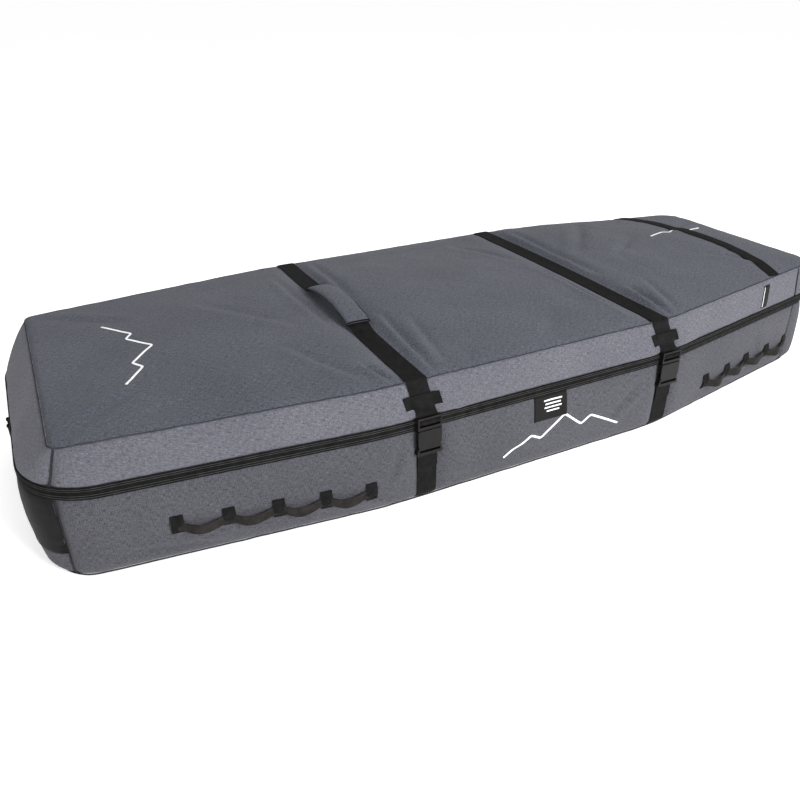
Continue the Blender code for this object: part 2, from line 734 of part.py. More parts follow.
def make_ring(pin_x):
    """A D-shaped ring: a straight bar through the tab, and a round bow below it."""
    half, bow = 0.015, 0.024
    points = []
    steps = 20
    for i in range(steps + 1):
        angle = math.pi * i / steps
        drop = bow * math.sin(angle) ** 0.8
        points.append((pin_x, RING_Y + half * math.cos(angle), RING_PIN_Z - drop))
    points += [(pin_x, RING_Y - half * (1 - 2 * i / 5), RING_PIN_Z) for i in range(1, 5)]
    curve = bpy.data.curves.new("d_ring", "CURVE")
    curve.dimensions = "3D"
    curve.bevel_depth = RING_WIRE
    curve.bevel_resolution = 2
    spline = curve.splines.new("POLY")
    spline.points.add(len(points) - 1)
    for place, point in zip(spline.points, points):
        place.co = (*point, 1.0)
    spline.use_cyclic_u = True
    curve.materials.append(PLASTIC)
    BAG.objects.link(bpy.data.objects.new("d_ring", curve))


# --- Labels -------------------------------------------------------------------------------------


def make_labels():
    """Two plain sewn labels: one on the front wall under the zip, one on the lid near the nose."""
    x, z, half, tall = CARE_LABEL
    y = -face_y(x, 0) - GAP / 2
    box("care_label", (x - half, y - PATCH, z - tall), (x + half, y, z + tall), COATED)
    x, z, half, tall = SIZE_LABEL
    rings = []
    for height in (z - tall, z + tall):
        ends = []
        for px in (x - half, x + half):
            ends.append((px, -(half_width(px) - LID_SIDE_IN * lid_share(height)) - 2 * GAP))
        (x0, y0), (x1, y1) = ends
        rings.append([(x0, y0, height), (x1, y1, height), (x1, y1 - PATCH, height), (x0, y0 - PATCH, height)])
    loft("size_label", rings, COATED)


make_base()
make_lid()
make_straps()
make_handle()
make_nose_strap()
make_buckles()
make_daisy("tail_loops", -0.648, TAIL_SLOPE, 0.074, 0.062)
make_daisy("nose_loops", 0.449, -NOSE_SLOPE, 0.062, 0.0)
for number, side in ((1, 1), (2, -1)):
    make_pull(number, *make_slider(number, side))
make_ring(make_end_tab())
make_labels()
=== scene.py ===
"""Looks of the padded board bag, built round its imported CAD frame.

Every panel is a grid of points on the bag's plan, pushed in and out by its padding, seams, straps and
creases. Straps, prints and labels are then laid on those panels. Lengths are in metres, in the CAD's frame.
"""

import json
import math

import bmesh
import bpy
import numpy as np
from mathutils import Matrix, Vector, noise
from mathutils.bvhtree import BVHTree


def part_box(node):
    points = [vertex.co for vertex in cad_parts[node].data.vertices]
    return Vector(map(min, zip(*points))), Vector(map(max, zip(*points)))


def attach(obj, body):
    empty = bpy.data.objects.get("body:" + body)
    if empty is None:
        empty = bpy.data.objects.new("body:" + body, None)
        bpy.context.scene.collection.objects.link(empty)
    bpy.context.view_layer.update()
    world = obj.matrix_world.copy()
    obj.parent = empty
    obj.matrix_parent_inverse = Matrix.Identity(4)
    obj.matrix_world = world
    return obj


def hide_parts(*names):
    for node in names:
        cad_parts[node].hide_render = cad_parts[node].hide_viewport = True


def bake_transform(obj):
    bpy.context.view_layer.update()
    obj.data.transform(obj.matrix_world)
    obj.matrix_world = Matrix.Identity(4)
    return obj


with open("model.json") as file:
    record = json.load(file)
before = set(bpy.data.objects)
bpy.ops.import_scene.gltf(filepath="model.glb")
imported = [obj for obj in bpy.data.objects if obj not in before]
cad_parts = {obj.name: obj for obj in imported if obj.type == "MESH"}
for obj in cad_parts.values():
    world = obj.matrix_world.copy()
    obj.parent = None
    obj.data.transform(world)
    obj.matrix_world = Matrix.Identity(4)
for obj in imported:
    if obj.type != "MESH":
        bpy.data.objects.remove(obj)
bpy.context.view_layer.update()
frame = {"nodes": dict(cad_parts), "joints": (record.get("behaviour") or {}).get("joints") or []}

# --- Sizes from the frame -----------------------------------------------------------------------

JOINTS = {joint["name"]: joint for joint in frame["joints"]}
FLOOR_LOW, FLOOR_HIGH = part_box("base_floor")
TOP_LOW, TOP_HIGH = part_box("lid_top_panel")
TAIL_X, NOSE_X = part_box("lower_zip_tape")[0].x, FLOOR_HIGH.x
HALF = FLOOR_HIGH.y
HINGE = Vector(JOINTS["lid_hinge"]["pos_m"])
SEAM_Z = TOP_LOW.z + 0.003
CROWN = TOP_HIGH.z - SEAM_Z
BASE_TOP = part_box("front_wall")[1].z
LID_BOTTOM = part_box("lid_front_gusset")[0].z
STRAPS = [sum(corner.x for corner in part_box(f"strap_{k}_back")) / 2 for k in (1, 2)]
BUCKLES = [sum(corner.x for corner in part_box(f"latch_{k}")) / 2 for k in (1, 2)]
LATCH_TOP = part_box("latch_1")[1].z
STRAP_WIDTH = 0.038
SLANT_TOP = 0.235
GRIP_LOW, GRIP_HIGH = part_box("handle_grip")
GRIP_Y = (GRIP_LOW.y + GRIP_HIGH.y) / 2

# How far each strap pulls the crown down at the lid's middle, and how wide
VALLEY, VALLEY_WIDTH = 0.012, 0.085
WALL_THICK, TOP_THICK, LINING_THICK = 0.0035, 0.0030, 0.004
# The panels run on behind the zip's tapes
BEHIND_UPPER_TAPE, BEHIND_LOWER_TAPE = 0.0040, 0.0030
# How far webbing stands off the cloth it is sewn to, and how far the straps hold the sides in
SEWN_GAP, PULLED_IN = 0.0004, 0.0012
ROUND_BOTTOM = 0.019
# Places across a piece of webbing, as shares of its width
ACROSS = np.linspace(-0.5, 0.5, 7)
KEEPER_REACH, LOOP_WIDTH, STITCH_RADIUS = 0.034, 0.0155, 0.00035
TOOTH_PITCH, PRINT_STAND = 0.0026, 0.0003
# The cloth along the back, and how far in the plan's edge is where it parts into halves
HINGE_LOW, HINGE_HIGH, TAPER_SPLIT = 0.143, 0.175, 0.012

# The same plan as the CAD model's
TAIL_HALF, NOSE_HALF = 0.266, 0.223
TAPER_FROM, TAPER_TO = -0.3065, 0.2985
BEND = 0.05
TAIL_SLOPE = (HALF - TAIL_HALF) / (TAPER_FROM - TAIL_X)
NOSE_SLOPE = (HALF - NOSE_HALF) / (NOSE_X - TAPER_TO)
TAIL_CORNER, FLOOR_TAIL_CORNER, NOSE_CORNER, LID_CORNER = 0.120, 0.075, 0.075, 0.022
FLOOR_TAIL_IN = FLOOR_LOW.x - TAIL_X
TAIL_RISE, NOSE_RISE = 0.70, 0.20
LID_TAIL_IN, LID_NOSE_IN, LID_SIDE_IN = TOP_LOW.x - TAIL_X, NOSE_X - TOP_HIGH.x, 0.004

END_STEPS, ARC_STEPS, SIDE_STEPS = 26, 12, 290


# --- The bag's plan -----------------------------------------------------------------------------


def smooth_min(a, b, width):
    """The smaller of two values, with the corner between them rounded over a width."""
    h = np.maximum(width - np.abs(a - b), 0.0) / width
    return np.minimum(a, b) - h * h * width / 4


def half_width(x):
    """Half the bag's width at a station."""
    tail = TAIL_HALF + TAIL_SLOPE * (x - TAIL_X)
    nose = NOSE_HALF + NOSE_SLOPE * (NOSE_X - x)
    return smooth_min(smooth_min(HALF, tail, BEND * TAIL_SLOPE), nose, BEND * NOSE_SLOPE)


def corner_arc(end_x, toward, radius, slope, side_in):
    """The front corner at one end, from the end to the side: points and outward normals."""
    lean = math.atan(slope)
    centre_x = end_x + toward * radius
    centre_y = -(half_width(centre_x) - side_in - radius / math.cos(lean))
    angle = np.linspace(0, math.pi / 2 - lean, ARC_STEPS + 1)
    normals = np.stack([-toward * np.cos(angle), -np.sin(angle)], 1)
    return np.array([centre_x, centre_y]) + radius * normals, normals


def outline(tail_in=0.0, nose_in=0.0, side_in=0.0, tail_corner=TAIL_CORNER, nose_corner=NOSE_CORNER):
    """A closed outline, from the tail's middle along the front to the nose and back: points and normals."""
    tail_x, nose_x = TAIL_X + tail_in, NOSE_X - nose_in
    tail_arc, tail_n = corner_arc(tail_x, 1, tail_corner, TAIL_SLOPE, side_in)
    nose_arc, nose_n = corner_arc(nose_x, -1, nose_corner, NOSE_SLOPE, side_in)
    x = np.linspace(tail_arc[-1, 0], nose_arc[-1, 0], SIDE_STEPS + 1)[1:-1]
    rise = (half_width(x + 0.002) - half_width(x - 0.002)) / 0.004
    side = np.stack([x, -(half_width(x) - side_in)], 1)
    side_n = np.stack([-rise, -np.ones_like(x)], 1) / np.hypot(1, rise)[:, None]
    share = np.arange(END_STEPS)[:, None] / END_STEPS
    tail_end = np.hstack([np.full_like(share, tail_x), share * tail_arc[0, 1]])
    nose_end = np.hstack([np.full_like(share, nose_x), share * nose_arc[0, 1]])[::-1]
    points = np.vstack([tail_end, tail_arc, side, nose_arc[::-1], nose_end])
    end_n = np.tile([1.0, 0.0], (END_STEPS, 1))
    normals = np.vstack([-end_n, tail_n, side_n, nose_n[::-1], end_n])
    mirror = np.array([1.0, -1.0])
    points = np.vstack([points, points[-2:0:-1] * mirror])
    normals = np.vstack([normals, normals[-2:0:-1] * mirror])
    return points, normals


BASE_PLAN, BASE_NORMALS = outline()
FLOOR_PLAN, FLOOR_NORMALS = outline(FLOOR_TAIL_IN, tail_corner=FLOOR_TAIL_CORNER)
LID_PLAN, LID_NORMALS = outline(LID_TAIL_IN, LID_NOSE_IN, LID_SIDE_IN, LID_CORNER, NOSE_CORNER * 0.8)
TOTAL = len(BASE_PLAN)
TAIL_SEAM = END_STEPS + ARC_STEPS * 7 // 12
NOSE_SEAM = END_STEPS + ARC_STEPS + SIDE_STEPS - 2
# The front half of a plan without its straight ends
SIDE_RUN = slice(END_STEPS, END_STEPS + 2 * ARC_STEPS + SIDE_STEPS + 1)
RUNS = {
    "front": (TAIL_SEAM, NOSE_SEAM),
    "back": (TOTAL - NOSE_SEAM, TOTAL - TAIL_SEAM),
    "nose": (NOSE_SEAM, TOTAL - NOSE_SEAM),
    "tail": (-TAIL_SEAM, TAIL_SEAM),
}
ZIP_RUN = (-TAIL_SEAM, TOTAL - NOSE_SEAM)


def run_indices(run):
    return np.arange(run[0], run[1] + 1) % TOTAL


def plan_at(z, share=0.0):
    """The plan and normals at a height: leaning in to the floor, and by a share towards the lid's seam."""
    low = min(1.0, max(0.0, 1 - z / BASE_TOP))
    flat = BASE_PLAN * (1 - low) + FLOOR_PLAN * low
    out = BASE_NORMALS * (1 - low) + FLOOR_NORMALS * low
    flat = flat * (1 - share) + LID_PLAN * share
    out = out * (1 - share) + LID_NORMALS * share
    return flat, out / np.linalg.norm(out, axis=1)[:, None]


# --- Cloth shapes -------------------------------------------------------------------------------


def noise_at(points, size, seed):
    """Smooth noise from -1 to 1 at each point, with bumps of about this size."""
    flat = points.reshape(-1, 3) / size + seed * 7.31
    values = [noise.noise(Vector(p)) for p in flat]
    return np.array(values).reshape(points.shape[:-1])


def gaussian(distance, width):
    return np.exp(-((distance / width) ** 2))


def lengths(path):
    """The distance along a path to each of its points."""
    return np.concatenate([[0], np.cumsum(np.linalg.norm(np.diff(path, axis=0), axis=1))])


def sample(path, along, at):
    """A path's points at these distances along it."""
    return np.stack([np.interp(at, along, path[:, k]) for k in range(path.shape[1])], -1)


def strap_lines(z, front):
    """Each strap's x at a height: at a slant to its buckle down the front, and straight at the back."""
    share = np.clip((SLANT_TOP - z) / (SLANT_TOP - LATCH_TOP), 0, 1) if front else 0.0
    return [s + (b - s) * share for s, b in zip(STRAPS, BUCKLES)]


def strap_hold(x, lines):
    """1 under the straps, where they hold the cloth down, and 0 away from them."""
    return sum(np.exp(-(((x - s) / 0.028) ** 4)) for s in lines)


def strap_swell(x, lines):
    """The cloth's swelling beside each strap."""
    return sum(gaussian(np.abs(x - s) - 0.058, 0.030) for s in lines)


def fold_lines(points, size, seed):
    """Thin creases that wander over the cloth and fade in and out."""
    line = gaussian(noise_at(points, size, seed), 0.075)
    return line * np.clip(1.6 * noise_at(points, size * 1.7, seed + 40) + 0.25, 0, 1)


def crease(points, start, end, width, depth):
    """A soft fold between two plan points: down its line, fading to both ends."""
    a, b = np.array(start), np.array(end)
    along = b - a
    length = np.hypot(*along)
    along = along / length
    local = points[..., :2] - a
    s = local @ along / length
    d = local @ np.array([-along[1], along[0]])
    fade = np.clip(s * (1 - s) * 4, 0, 1) ** 0.7
    # A sharp dip with a rounder ridge beside it
    shape = gaussian(d, width) - 0.65 * gaussian(d - 1.9 * width, 1.3 * width)
    return -1.8 * depth * shape * fade


def place(name, mesh, finish):
    """Puts a mesh in the scene as an object with one material."""
    mesh.materials.append(finish)
    made = bpy.data.objects.new(name, mesh)
    bpy.context.scene.collection.objects.link(made)
    return made


def from_bmesh(name, bm):
    mesh = bpy.data.meshes.new(name)
    bm.to_mesh(mesh)
    bm.free()
    return mesh


def grid_object(name, points, finish, thickness=0.0, flip=False, closed=False):
    """A cloth surface from a (rows, columns, 3) grid, with UVs in metres and a thickness inwards."""
    rows, columns = points.shape[:2]
    mesh = bpy.data.meshes.new(name)
    index = np.arange(rows * columns).reshape(rows, columns)
    wrap = np.hstack([index, index[:, :1]]) if closed else index
    quads = np.stack([wrap[:-1, :-1], wrap[:-1, 1:], wrap[1:, 1:], wrap[1:, :-1]], -1).reshape(-1, 4)
    if flip:
        quads = quads[:, ::-1]
    mesh.from_pydata(points.reshape(-1, 3).tolist(), [], quads.tolist())
    around = np.linalg.norm(np.diff(points, axis=1, append=points[:, :1]), axis=-1).mean(0)
    up = np.linalg.norm(np.diff(points, axis=0), axis=-1).mean(1)
    u = np.concatenate([[0], np.cumsum(around)])
    v = np.concatenate([[0], np.cumsum(up)])
    layer = mesh.uv_layers.new(name="UVMap")
    uv = []
    for row in range(rows - 1):
        for column in range(wrap.shape[1] - 1):
            near, far = (u[column], v[row]), (u[column + 1], v[row + 1])
            corners = [near, (far[0], near[1]), far, (near[0], far[1])]
            uv += corners[::-1] if flip else corners
    layer.data.foreach_set("uv", np.array(uv, np.float32).ravel())
    mesh.shade_smooth()
    made = place(name, mesh, finish)
    if thickness:
        solid = made.modifiers.new("thickness", "SOLIDIFY")
        solid.thickness = thickness
        solid.offset = -1
    return made


def padded_offset(points, distance_s, distance_t, puff, seed, swell=0.0):
    """How far padded cloth stands out of its flat panel, given distances to its seams along both ways."""
    edge = np.minimum(distance_s, distance_t)
    lift = puff * (1 - np.exp(-edge / 0.016))
    pinch = -0.0022 * np.exp(-((edge / 0.0045) ** 2))
    pucker = 0.0013 * noise_at(points * np.array([1.0, 1.0, 0.4]), 0.017, seed + 3) * np.exp(-edge / 0.024)
    broad = 0.0036 * noise_at(points, 0.21, seed)
    middle = 0.0024 * noise_at(points, 0.080, seed + 1)
    fine = 0.0006 * noise_at(points, 0.030, seed + 2)
    folds = -0.0022 * fold_lines(points, 0.19, seed + 4) - 0.0012 * fold_lines(points, 0.085, seed + 5)
    inner = 1 - np.exp(-edge / 0.026)
    return lift + pinch + pucker + (broad + middle + fine + folds) * inner + swell


def seam_distance(points):
    """Distance along each row from both of its ends, the nearer one."""
    steps = np.linalg.norm(np.diff(points, axis=1), axis=-1)
    start = np.concatenate([np.zeros((len(points), 1)), np.cumsum(steps, 1)], 1)
    return np.minimum(start, start[:, -1:] - start)


# --- Materials ----------------------------------------------------------------------------------


def new_material(name):
    made = bpy.data.materials.new(name)
    made.use_nodes = True
    tree = made.node_tree
    return made, tree, tree.nodes["Principled BSDF"]


def link(tree, a, out, b, into):
    tree.links.new(a.outputs[out], b.inputs[into])


def mapped(tree, scale, source):
    """Coordinates stretched by a scale along each axis."""
    coords = tree.nodes.new("ShaderNodeTexCoord")
    mapping = tree.nodes.new("ShaderNodeMapping")
    mapping.inputs["Scale"].default_value = scale
    link(tree, coords, source, mapping, "Vector")
    return mapping


def noise_node(tree, scale, source="Object", detail=2.0):
    """Noise with this many bumps in a metre along each axis."""
    made = tree.nodes.new("ShaderNodeTexNoise")
    made.inputs["Scale"].default_value = 1.0
    made.inputs["Detail"].default_value = detail
    scale = scale if isinstance(scale, tuple) else (scale,) * 3
    link(tree, mapped(tree, scale, source), "Vector", made, "Vector")
    return made


def maths(tree, operation, a, b):
    """A Math node whose two inputs are each a number or a node's first output."""
    made = tree.nodes.new("ShaderNodeMath")
    made.operation = operation
    for slot, value in enumerate((a, b)):
        if isinstance(value, float):
            made.inputs[slot].default_value = value
        else:
            tree.links.new(value.outputs[0], made.inputs[slot])
    return made


def waves(tree, pitch, axis):
    """Rounded threads of a pitch across one UV axis, from 0 to 1."""
    coords = tree.nodes.new("ShaderNodeTexCoord")
    split = tree.nodes.new("ShaderNodeSeparateXYZ")
    link(tree, coords, "UV", split, "Vector")
    turn = tree.nodes.new("ShaderNodeMath")
    turn.operation = "MULTIPLY"
    link(tree, split, axis, turn, 0)
    turn.inputs[1].default_value = 2 * math.pi / pitch
    return maths(tree, "MULTIPLY_ADD", maths(tree, "SINE", turn, 0.0), 0.5)


def weave(tree, pitch_u, pitch_v):
    return maths(tree, "MULTIPLY", waves(tree, pitch_u, 0), waves(tree, pitch_v, 1))


def ramp(tree, source, *stops):
    """Colours from a node's first output, between stops of (place, colour)."""
    made = tree.nodes.new("ShaderNodeValToRGB")
    elements = made.color_ramp.elements
    while len(elements) < len(stops):
        elements.new(0.5)
    for element, (at, colour) in zip(elements, stops):
        element.position = at
        element.color = (*colour, 1.0)
    link(tree, source, 0, made, "Fac")
    return made


def tinted(tree, shader, source, colour, low, high):
    """Base colour from a node: the low and high stops are (place, factor of the colour)."""
    stops = [(at, tuple(c * factor for c in colour)) for at, factor in (low, high)]
    link(tree, ramp(tree, source, *stops), "Color", shader, "Base Color")


def surface(tree, shader, height, distance, strength, roughness, specular=None):
    """Bump from a node's first output, with the surface's roughness and specular level."""
    made = tree.nodes.new("ShaderNodeBump")
    made.inputs["Distance"].default_value = distance
    made.inputs["Strength"].default_value = strength
    link(tree, height, 0, made, "Height")
    link(tree, made, "Normal", shader, "Normal")
    shader.inputs["Roughness"].default_value = roughness
    if specular is not None:
        shader.inputs["Specular IOR Level"].default_value = specular


def heather(name, colour, contrast=1.0):
    """Grey melange cloth: each yarn changes tone along its length, both ways of the weave."""
    made, tree, shader = new_material(name)
    weft = noise_node(tree, (120, 950, 1), "UV", 3)
    warp = noise_node(tree, (900, 150, 1), "UV", 3)
    total = maths(tree, "MULTIPLY_ADD", maths(tree, "ADD", weft, warp), 0.5)
    total.inputs[2].default_value = 0.0
    spread = 0.60 * contrast
    factors = ((0.36, 1 - spread), (0.50, 1), (0.66, 1 + spread * 1.1))
    slub = ramp(tree, total, *[(at, tuple(c * factor for c in colour)) for at, factor in factors])
    tone = ramp(tree, noise_node(tree, 7, detail=3), (0.30, (0.84, 0.84, 0.86)), (0.70, (1.0, 1.0, 1.0)))
    mix = tree.nodes.new("ShaderNodeMix")
    mix.data_type = "RGBA"
    mix.blend_type = "MULTIPLY"
    mix.inputs["Factor"].default_value = 1.0
    tree.links.new(slub.outputs["Color"], mix.inputs["A"])
    tree.links.new(tone.outputs["Color"], mix.inputs["B"])
    tree.links.new(mix.outputs["Result"], shader.inputs["Base Color"])
    height = maths(tree, "ADD", weave(tree, 0.0013, 0.0013), total)
    surface(tree, shader, height, 0.0006, 0.55, 0.88, 0.12)
    shader.inputs["Sheen Weight"].default_value = 0.08
    shader.inputs["Sheen Roughness"].default_value = 0.5
    return made


def woven_black(name, colour, pitch, roughness, tooth=0.5):
    """Black webbing or tape: ribs across it, painted darker in their grooves as shade and lighter on their
    tops as highlight, with a little dust and wear.
    """
    made, tree, shader = new_material(name)
    ribs = weave(tree, pitch * 1.6, pitch)
    shade = maths(tree, "MULTIPLY_ADD", ribs, 0.45)
    link(tree, noise_node(tree, 90, detail=4), 0, shade, 2)
    # The colour follows the ribs' height: painted shade in the grooves and painted highlight on the rib tops;
    # the noise adds dust and wear.
    tinted(tree, shader, shade, colour, (0.25, 0.5), (1.0, 1.9))
    surface(tree, shader, ribs, 0.0007, tooth, roughness, 0.04)
    return made


def moulded(name, colour, roughness):
    """Satin moulded plastic with a fine spark-eroded texture."""
    made, tree, shader = new_material(name)
    cloud = noise_node(tree, 40)
    tinted(tree, shader, cloud, colour, (0.3, 0.8), (0.7, 1.3))
    surface(tree, shader, noise_node(tree, 900), 0.0002, 0.35, roughness, 0.14)
    rough = tree.nodes.new("ShaderNodeMapRange")
    rough.inputs["To Min"].default_value = roughness - 0.06
    rough.inputs["To Max"].default_value = roughness + 0.08
    link(tree, cloud, 0, rough, "Value")
    link(tree, rough, "Result", shader, "Roughness")
    return made


def coated(name, colour, roughness):
    """Coated plain-weave cloth: a fine grid under a low sheen."""
    made, tree, shader = new_material(name)
    tinted(tree, shader, noise_node(tree, 14, detail=4), colour, (0.3, 0.75), (0.7, 1.35))
    surface(tree, shader, weave(tree, 0.0016, 0.0016), 0.0004, 0.4, roughness, 0.06)
    return made


def printed(name, colour):
    """White screen print, slightly worn so that the weave shows."""
    made, tree, shader = new_material(name)
    wear = noise_node(tree, 260, detail=3)
    tinted(tree, shader, wear, colour, (0.32, 0.72), (0.55, 1))
    surface(tree, shader, wear, 0.0003, 0.3, 0.65)
    return made


# One grey cloth in three tones: the gussets' own, and darker copies for the lid's top and the base's walls,
# which are painted shade where less light falls on them.
CLOTH = heather("heather_cloth", (0.092, 0.092, 0.108))
TOP_CLOTH_PAINTED_SHADE = heather("heather_top_painted_shade", (0.063, 0.067, 0.083), 1.1)
WALL_CLOTH_PAINTED_SHADE = heather("heather_wall_painted_shade", (0.058, 0.058, 0.067))
LINING = coated("lining", (0.030, 0.032, 0.037), 0.6)
TAPE = woven_black("zip_tape", (0.0065, 0.0062, 0.0062), 0.0012, 0.6)
# The zip's ridge cords are coloured lighter than the tape: painted highlight along the ridges.
RIDGE_HIGHLIGHT = woven_black("zip_ridge_highlight", (0.030, 0.029, 0.029), 0.0012, 0.6)
COIL = moulded("zip_coil", (0.012, 0.012, 0.012), 0.35)
WEBBING = woven_black("webbing", (0.0062, 0.0060, 0.0060), 0.0019, 0.62, 0.7)
LOOP_WEB = woven_black("loop_webbing", (0.0150, 0.0138, 0.0130), 0.0016, 0.65, 0.6)
BLACK_CLOTH = coated("black_coated", (0.0085, 0.0080, 0.0080), 0.55)
PLASTIC = moulded("black_plastic", (0.0058, 0.0052, 0.0050), 0.30)
THREAD = woven_black("thread", (0.016, 0.016, 0.017), 0.0010, 0.7)
# A dark cord: painted shade where it lies in the top and corner seams' grooves, and piping on the handle's
# edges and round the bottom.
SEAM_SHADE_AND_PIPING = woven_black("seam_shade_and_piping_cord", (0.024, 0.025, 0.030), 0.0014, 0.8)
PRINT = printed("white_print", (0.80, 0.81, 0.82))


# --- Panels -------------------------------------------------------------------------------------

TREES = {}


def keep_tree(name, made):
    """Remembers a panel's surface, so that other pieces can be laid on it."""
    points = [v.co.copy() for v in made.data.vertices]
    TREES[name] = BVHTree.FromPolygons(points, [tuple(p.vertices) for p in made.data.polygons])


def on_panel(names, start, direction):
    """Where a ray first meets any of these panels, or None."""
    hits = [TREES[name].ray_cast(Vector(start), Vector(direction)) for name in names]
    hits = [(distance, hit) for hit, _, _, distance in hits if hit is not None]
    return min(hits, key=lambda found: found[0])[1] if hits else None


def side_y(names, x, z, toward=-1):
    """Where the front (-1) or the back (1) of these panels lies."""
    hit = on_panel(names, (x, toward * 0.5, z), (0, -toward, 0))
    return toward * (half_width(x) + 0.001) if hit is None else hit.y


def top_z(x, y):
    hit = on_panel(("lid_top",), (x, y, 0.6), (0, 0, -1))
    return SEAM_Z if hit is None else hit.z


def lay(names, heights, stations, stand, toward=-1):
    """Rows of points on the bag's side, at the x of stations(z), standing off it by a number or an array."""
    rows = np.array([[(x, side_y(names, x, z, toward), z) for x in stations(z)] for z in heights])
    rows[..., 1] += toward * stand
    return rows


def wall_grid(run, heights, plan_share):
    """Points and outward normals of a panel that follows the plan, one row for each height."""
    index = run_indices(run)
    rows, normals = [], []
    for z, share in zip(heights, plan_share):
        flat, out = (values[index] for values in plan_at(z, share))
        rows.append(np.column_stack([flat, np.full(len(flat), z)]))
        normals.append(np.column_stack([out, np.zeros(len(out))]))
    return np.array(rows), np.array(normals)


def lid_share(z):
    """How far up the lid's side a height is, from 0 at the zip to 1 at the top seam."""
    return np.clip((z - LID_BOTTOM) / (SEAM_Z - LID_BOTTOM), 0, 1)


def held_by_straps(side, points):
    """How far the straps hold each point of a side in, and how far the cloth swells beside them."""
    lines = strap_lines(points[..., 2], side == "front") if side in ("front", "back") else []
    return strap_hold(points[..., 0], lines), strap_swell(points[..., 0], lines)


def gusset_panel(side, puff, seed):
    """One side of the lid, from the zip tape up to the top seam."""
    heights = np.linspace(LID_BOTTOM - BEHIND_UPPER_TAPE, SEAM_Z - 0.0008, 18)
    points, normals = wall_grid(RUNS[side], heights, lid_share(heights))
    along = seam_distance(points)
    low = (heights - heights[0])[:, None]
    high = (heights[-1] - heights)[:, None]
    across = np.minimum(low, high) * np.ones_like(along)
    hold, swell = held_by_straps(side, points)
    offset = padded_offset(points, along, across, puff, seed, 0.0016 * swell)
    return points + normals * (offset * (1 - hold) - PULLED_IN * hold)[..., None]


def strap_valley(x):
    """1 along each strap's line over the lid, fading to both sides."""
    return sum(gaussian(x - s, VALLEY_WIDTH) for s in STRAPS)


def crown(x, y):
    """The height of the lid's top, before its padding."""
    half = half_width(x) - LID_SIDE_IN
    end = np.clip(np.minimum((x - TOP_LOW.x) / TAIL_RISE, (TOP_HIGH.x - x) / NOSE_RISE), 0, 1)
    return SEAM_Z + CROWN * np.clip(1 - (y / half) ** 2, 0, 1) * (1 - (1 - end) ** 2)


def lid_top_panel():
    """The crowned top, as cross-strips from the tail to the nose, with the folds that its straps pull."""
    edge = LID_PLAN[SIDE_RUN]
    across = np.linspace(-1, 1, 91)
    x = np.tile(edge[:, 0], (len(across), 1))
    half = -np.tile(edge[:, 1], (len(across), 1))
    share = np.tile(across[:, None], (1, len(edge)))
    y = half * share
    to_end = np.minimum(x - edge[0, 0], edge[-1, 0] - x)
    to_side = half * (1 - np.abs(share))
    points = np.stack([x, y, crown(x, y)], -1)
    edge_distance = np.minimum(to_end, to_side)
    offset = padded_offset(points, to_end, to_side, 0.0036, 11)
    hold = strap_hold(x, STRAPS)
    ease = 1 - 0.5 * gaussian(y - GRIP_Y, 0.09) * (np.abs(x - STRAPS[0]) < 0.1)
    inner = np.clip(edge_distance / 0.07, 0, 1)
    swell = 0.0030 * strap_swell(x, STRAPS) * inner
    folds = sum(crease(points, *fold) for fold in TOP_FOLDS)
    hump = 0.0075 * gaussian(x - 0.43, 0.13) * gaussian(y - 0.20, 0.10)
    valley = -VALLEY * strap_valley(x) * (1 - share**2) * inner
    offset = (offset + swell + folds + hump) * (1 - hold * ease) - 0.0030 * hold * ease + valley
    offset *= 1 - np.exp(-edge_distance / 0.004) * (1 - hold)
    points[..., 2] += offset - 0.0018 * np.exp(-((edge_distance / 0.006) ** 2))
    return points


# Folds of the top, as (x, y) start and end, width and depth: by the straps, at the corners and the nose
S1, S2 = STRAPS
TOP_FOLDS = [
    ((S1 + 0.040, -0.318), (S1 + 0.058, -0.06), 0.0060, 0.0034),
    ((S1 + 0.070, -0.300), (S1 + 0.100, -0.10), 0.0085, 0.0020),
    ((S1 - 0.034, -0.322), (S1 - 0.060, -0.235), 0.0050, 0.0042),
    ((S1 - 0.070, -0.290), (S1 - 0.160, -0.12), 0.0090, 0.0018),
    ((S1 - 0.045, -0.10), (S1 - 0.060, 0.22), 0.0080, 0.0026),
    ((S1 + 0.045, 0.02), (S1 + 0.050, 0.29), 0.0080, 0.0024),
    ((S1 - 0.100, -0.05), (S1 - 0.250, 0.16), 0.0120, 0.0018),
    ((S2 - 0.040, -0.300), (S2 - 0.050, 0.02), 0.0070, 0.0030),
    ((S2 + 0.036, -0.312), (S2 + 0.052, -0.17), 0.0060, 0.0048),
    ((S2 + 0.060, -0.305), (S2 + 0.110, -0.16), 0.0080, 0.0026),
    ((S2 + 0.045, -0.10), (S2 + 0.050, 0.26), 0.0080, 0.0036),
    ((S2 - 0.060, 0.05), (S2 - 0.140, 0.24), 0.0110, 0.0026),
    ((S2 + 0.090, 0.04), (S2 + 0.230, 0.21), 0.0140, 0.0034),
    ((S2 + 0.150, -0.02), (S2 + 0.290, 0.08), 0.0120, 0.0020),
    ((-0.775, -0.245), (-0.640, -0.14), 0.0110, 0.0024),
    ((-0.770, 0.235), (-0.620, 0.12), 0.0110, 0.0022),
    ((-0.700, -0.262), (-0.560, -0.205), 0.0090, 0.0016),
    ((-0.560, -0.270), (-0.420, -0.190), 0.0100, 0.0012),
    ((0.700, -0.200), (0.610, -0.100), 0.0100, 0.0020),
    ((0.790, 0.120), (0.650, 0.06), 0.0110, 0.0022),
    ((0.030, -0.300), (0.120, -0.200), 0.0120, 0.0012),
]


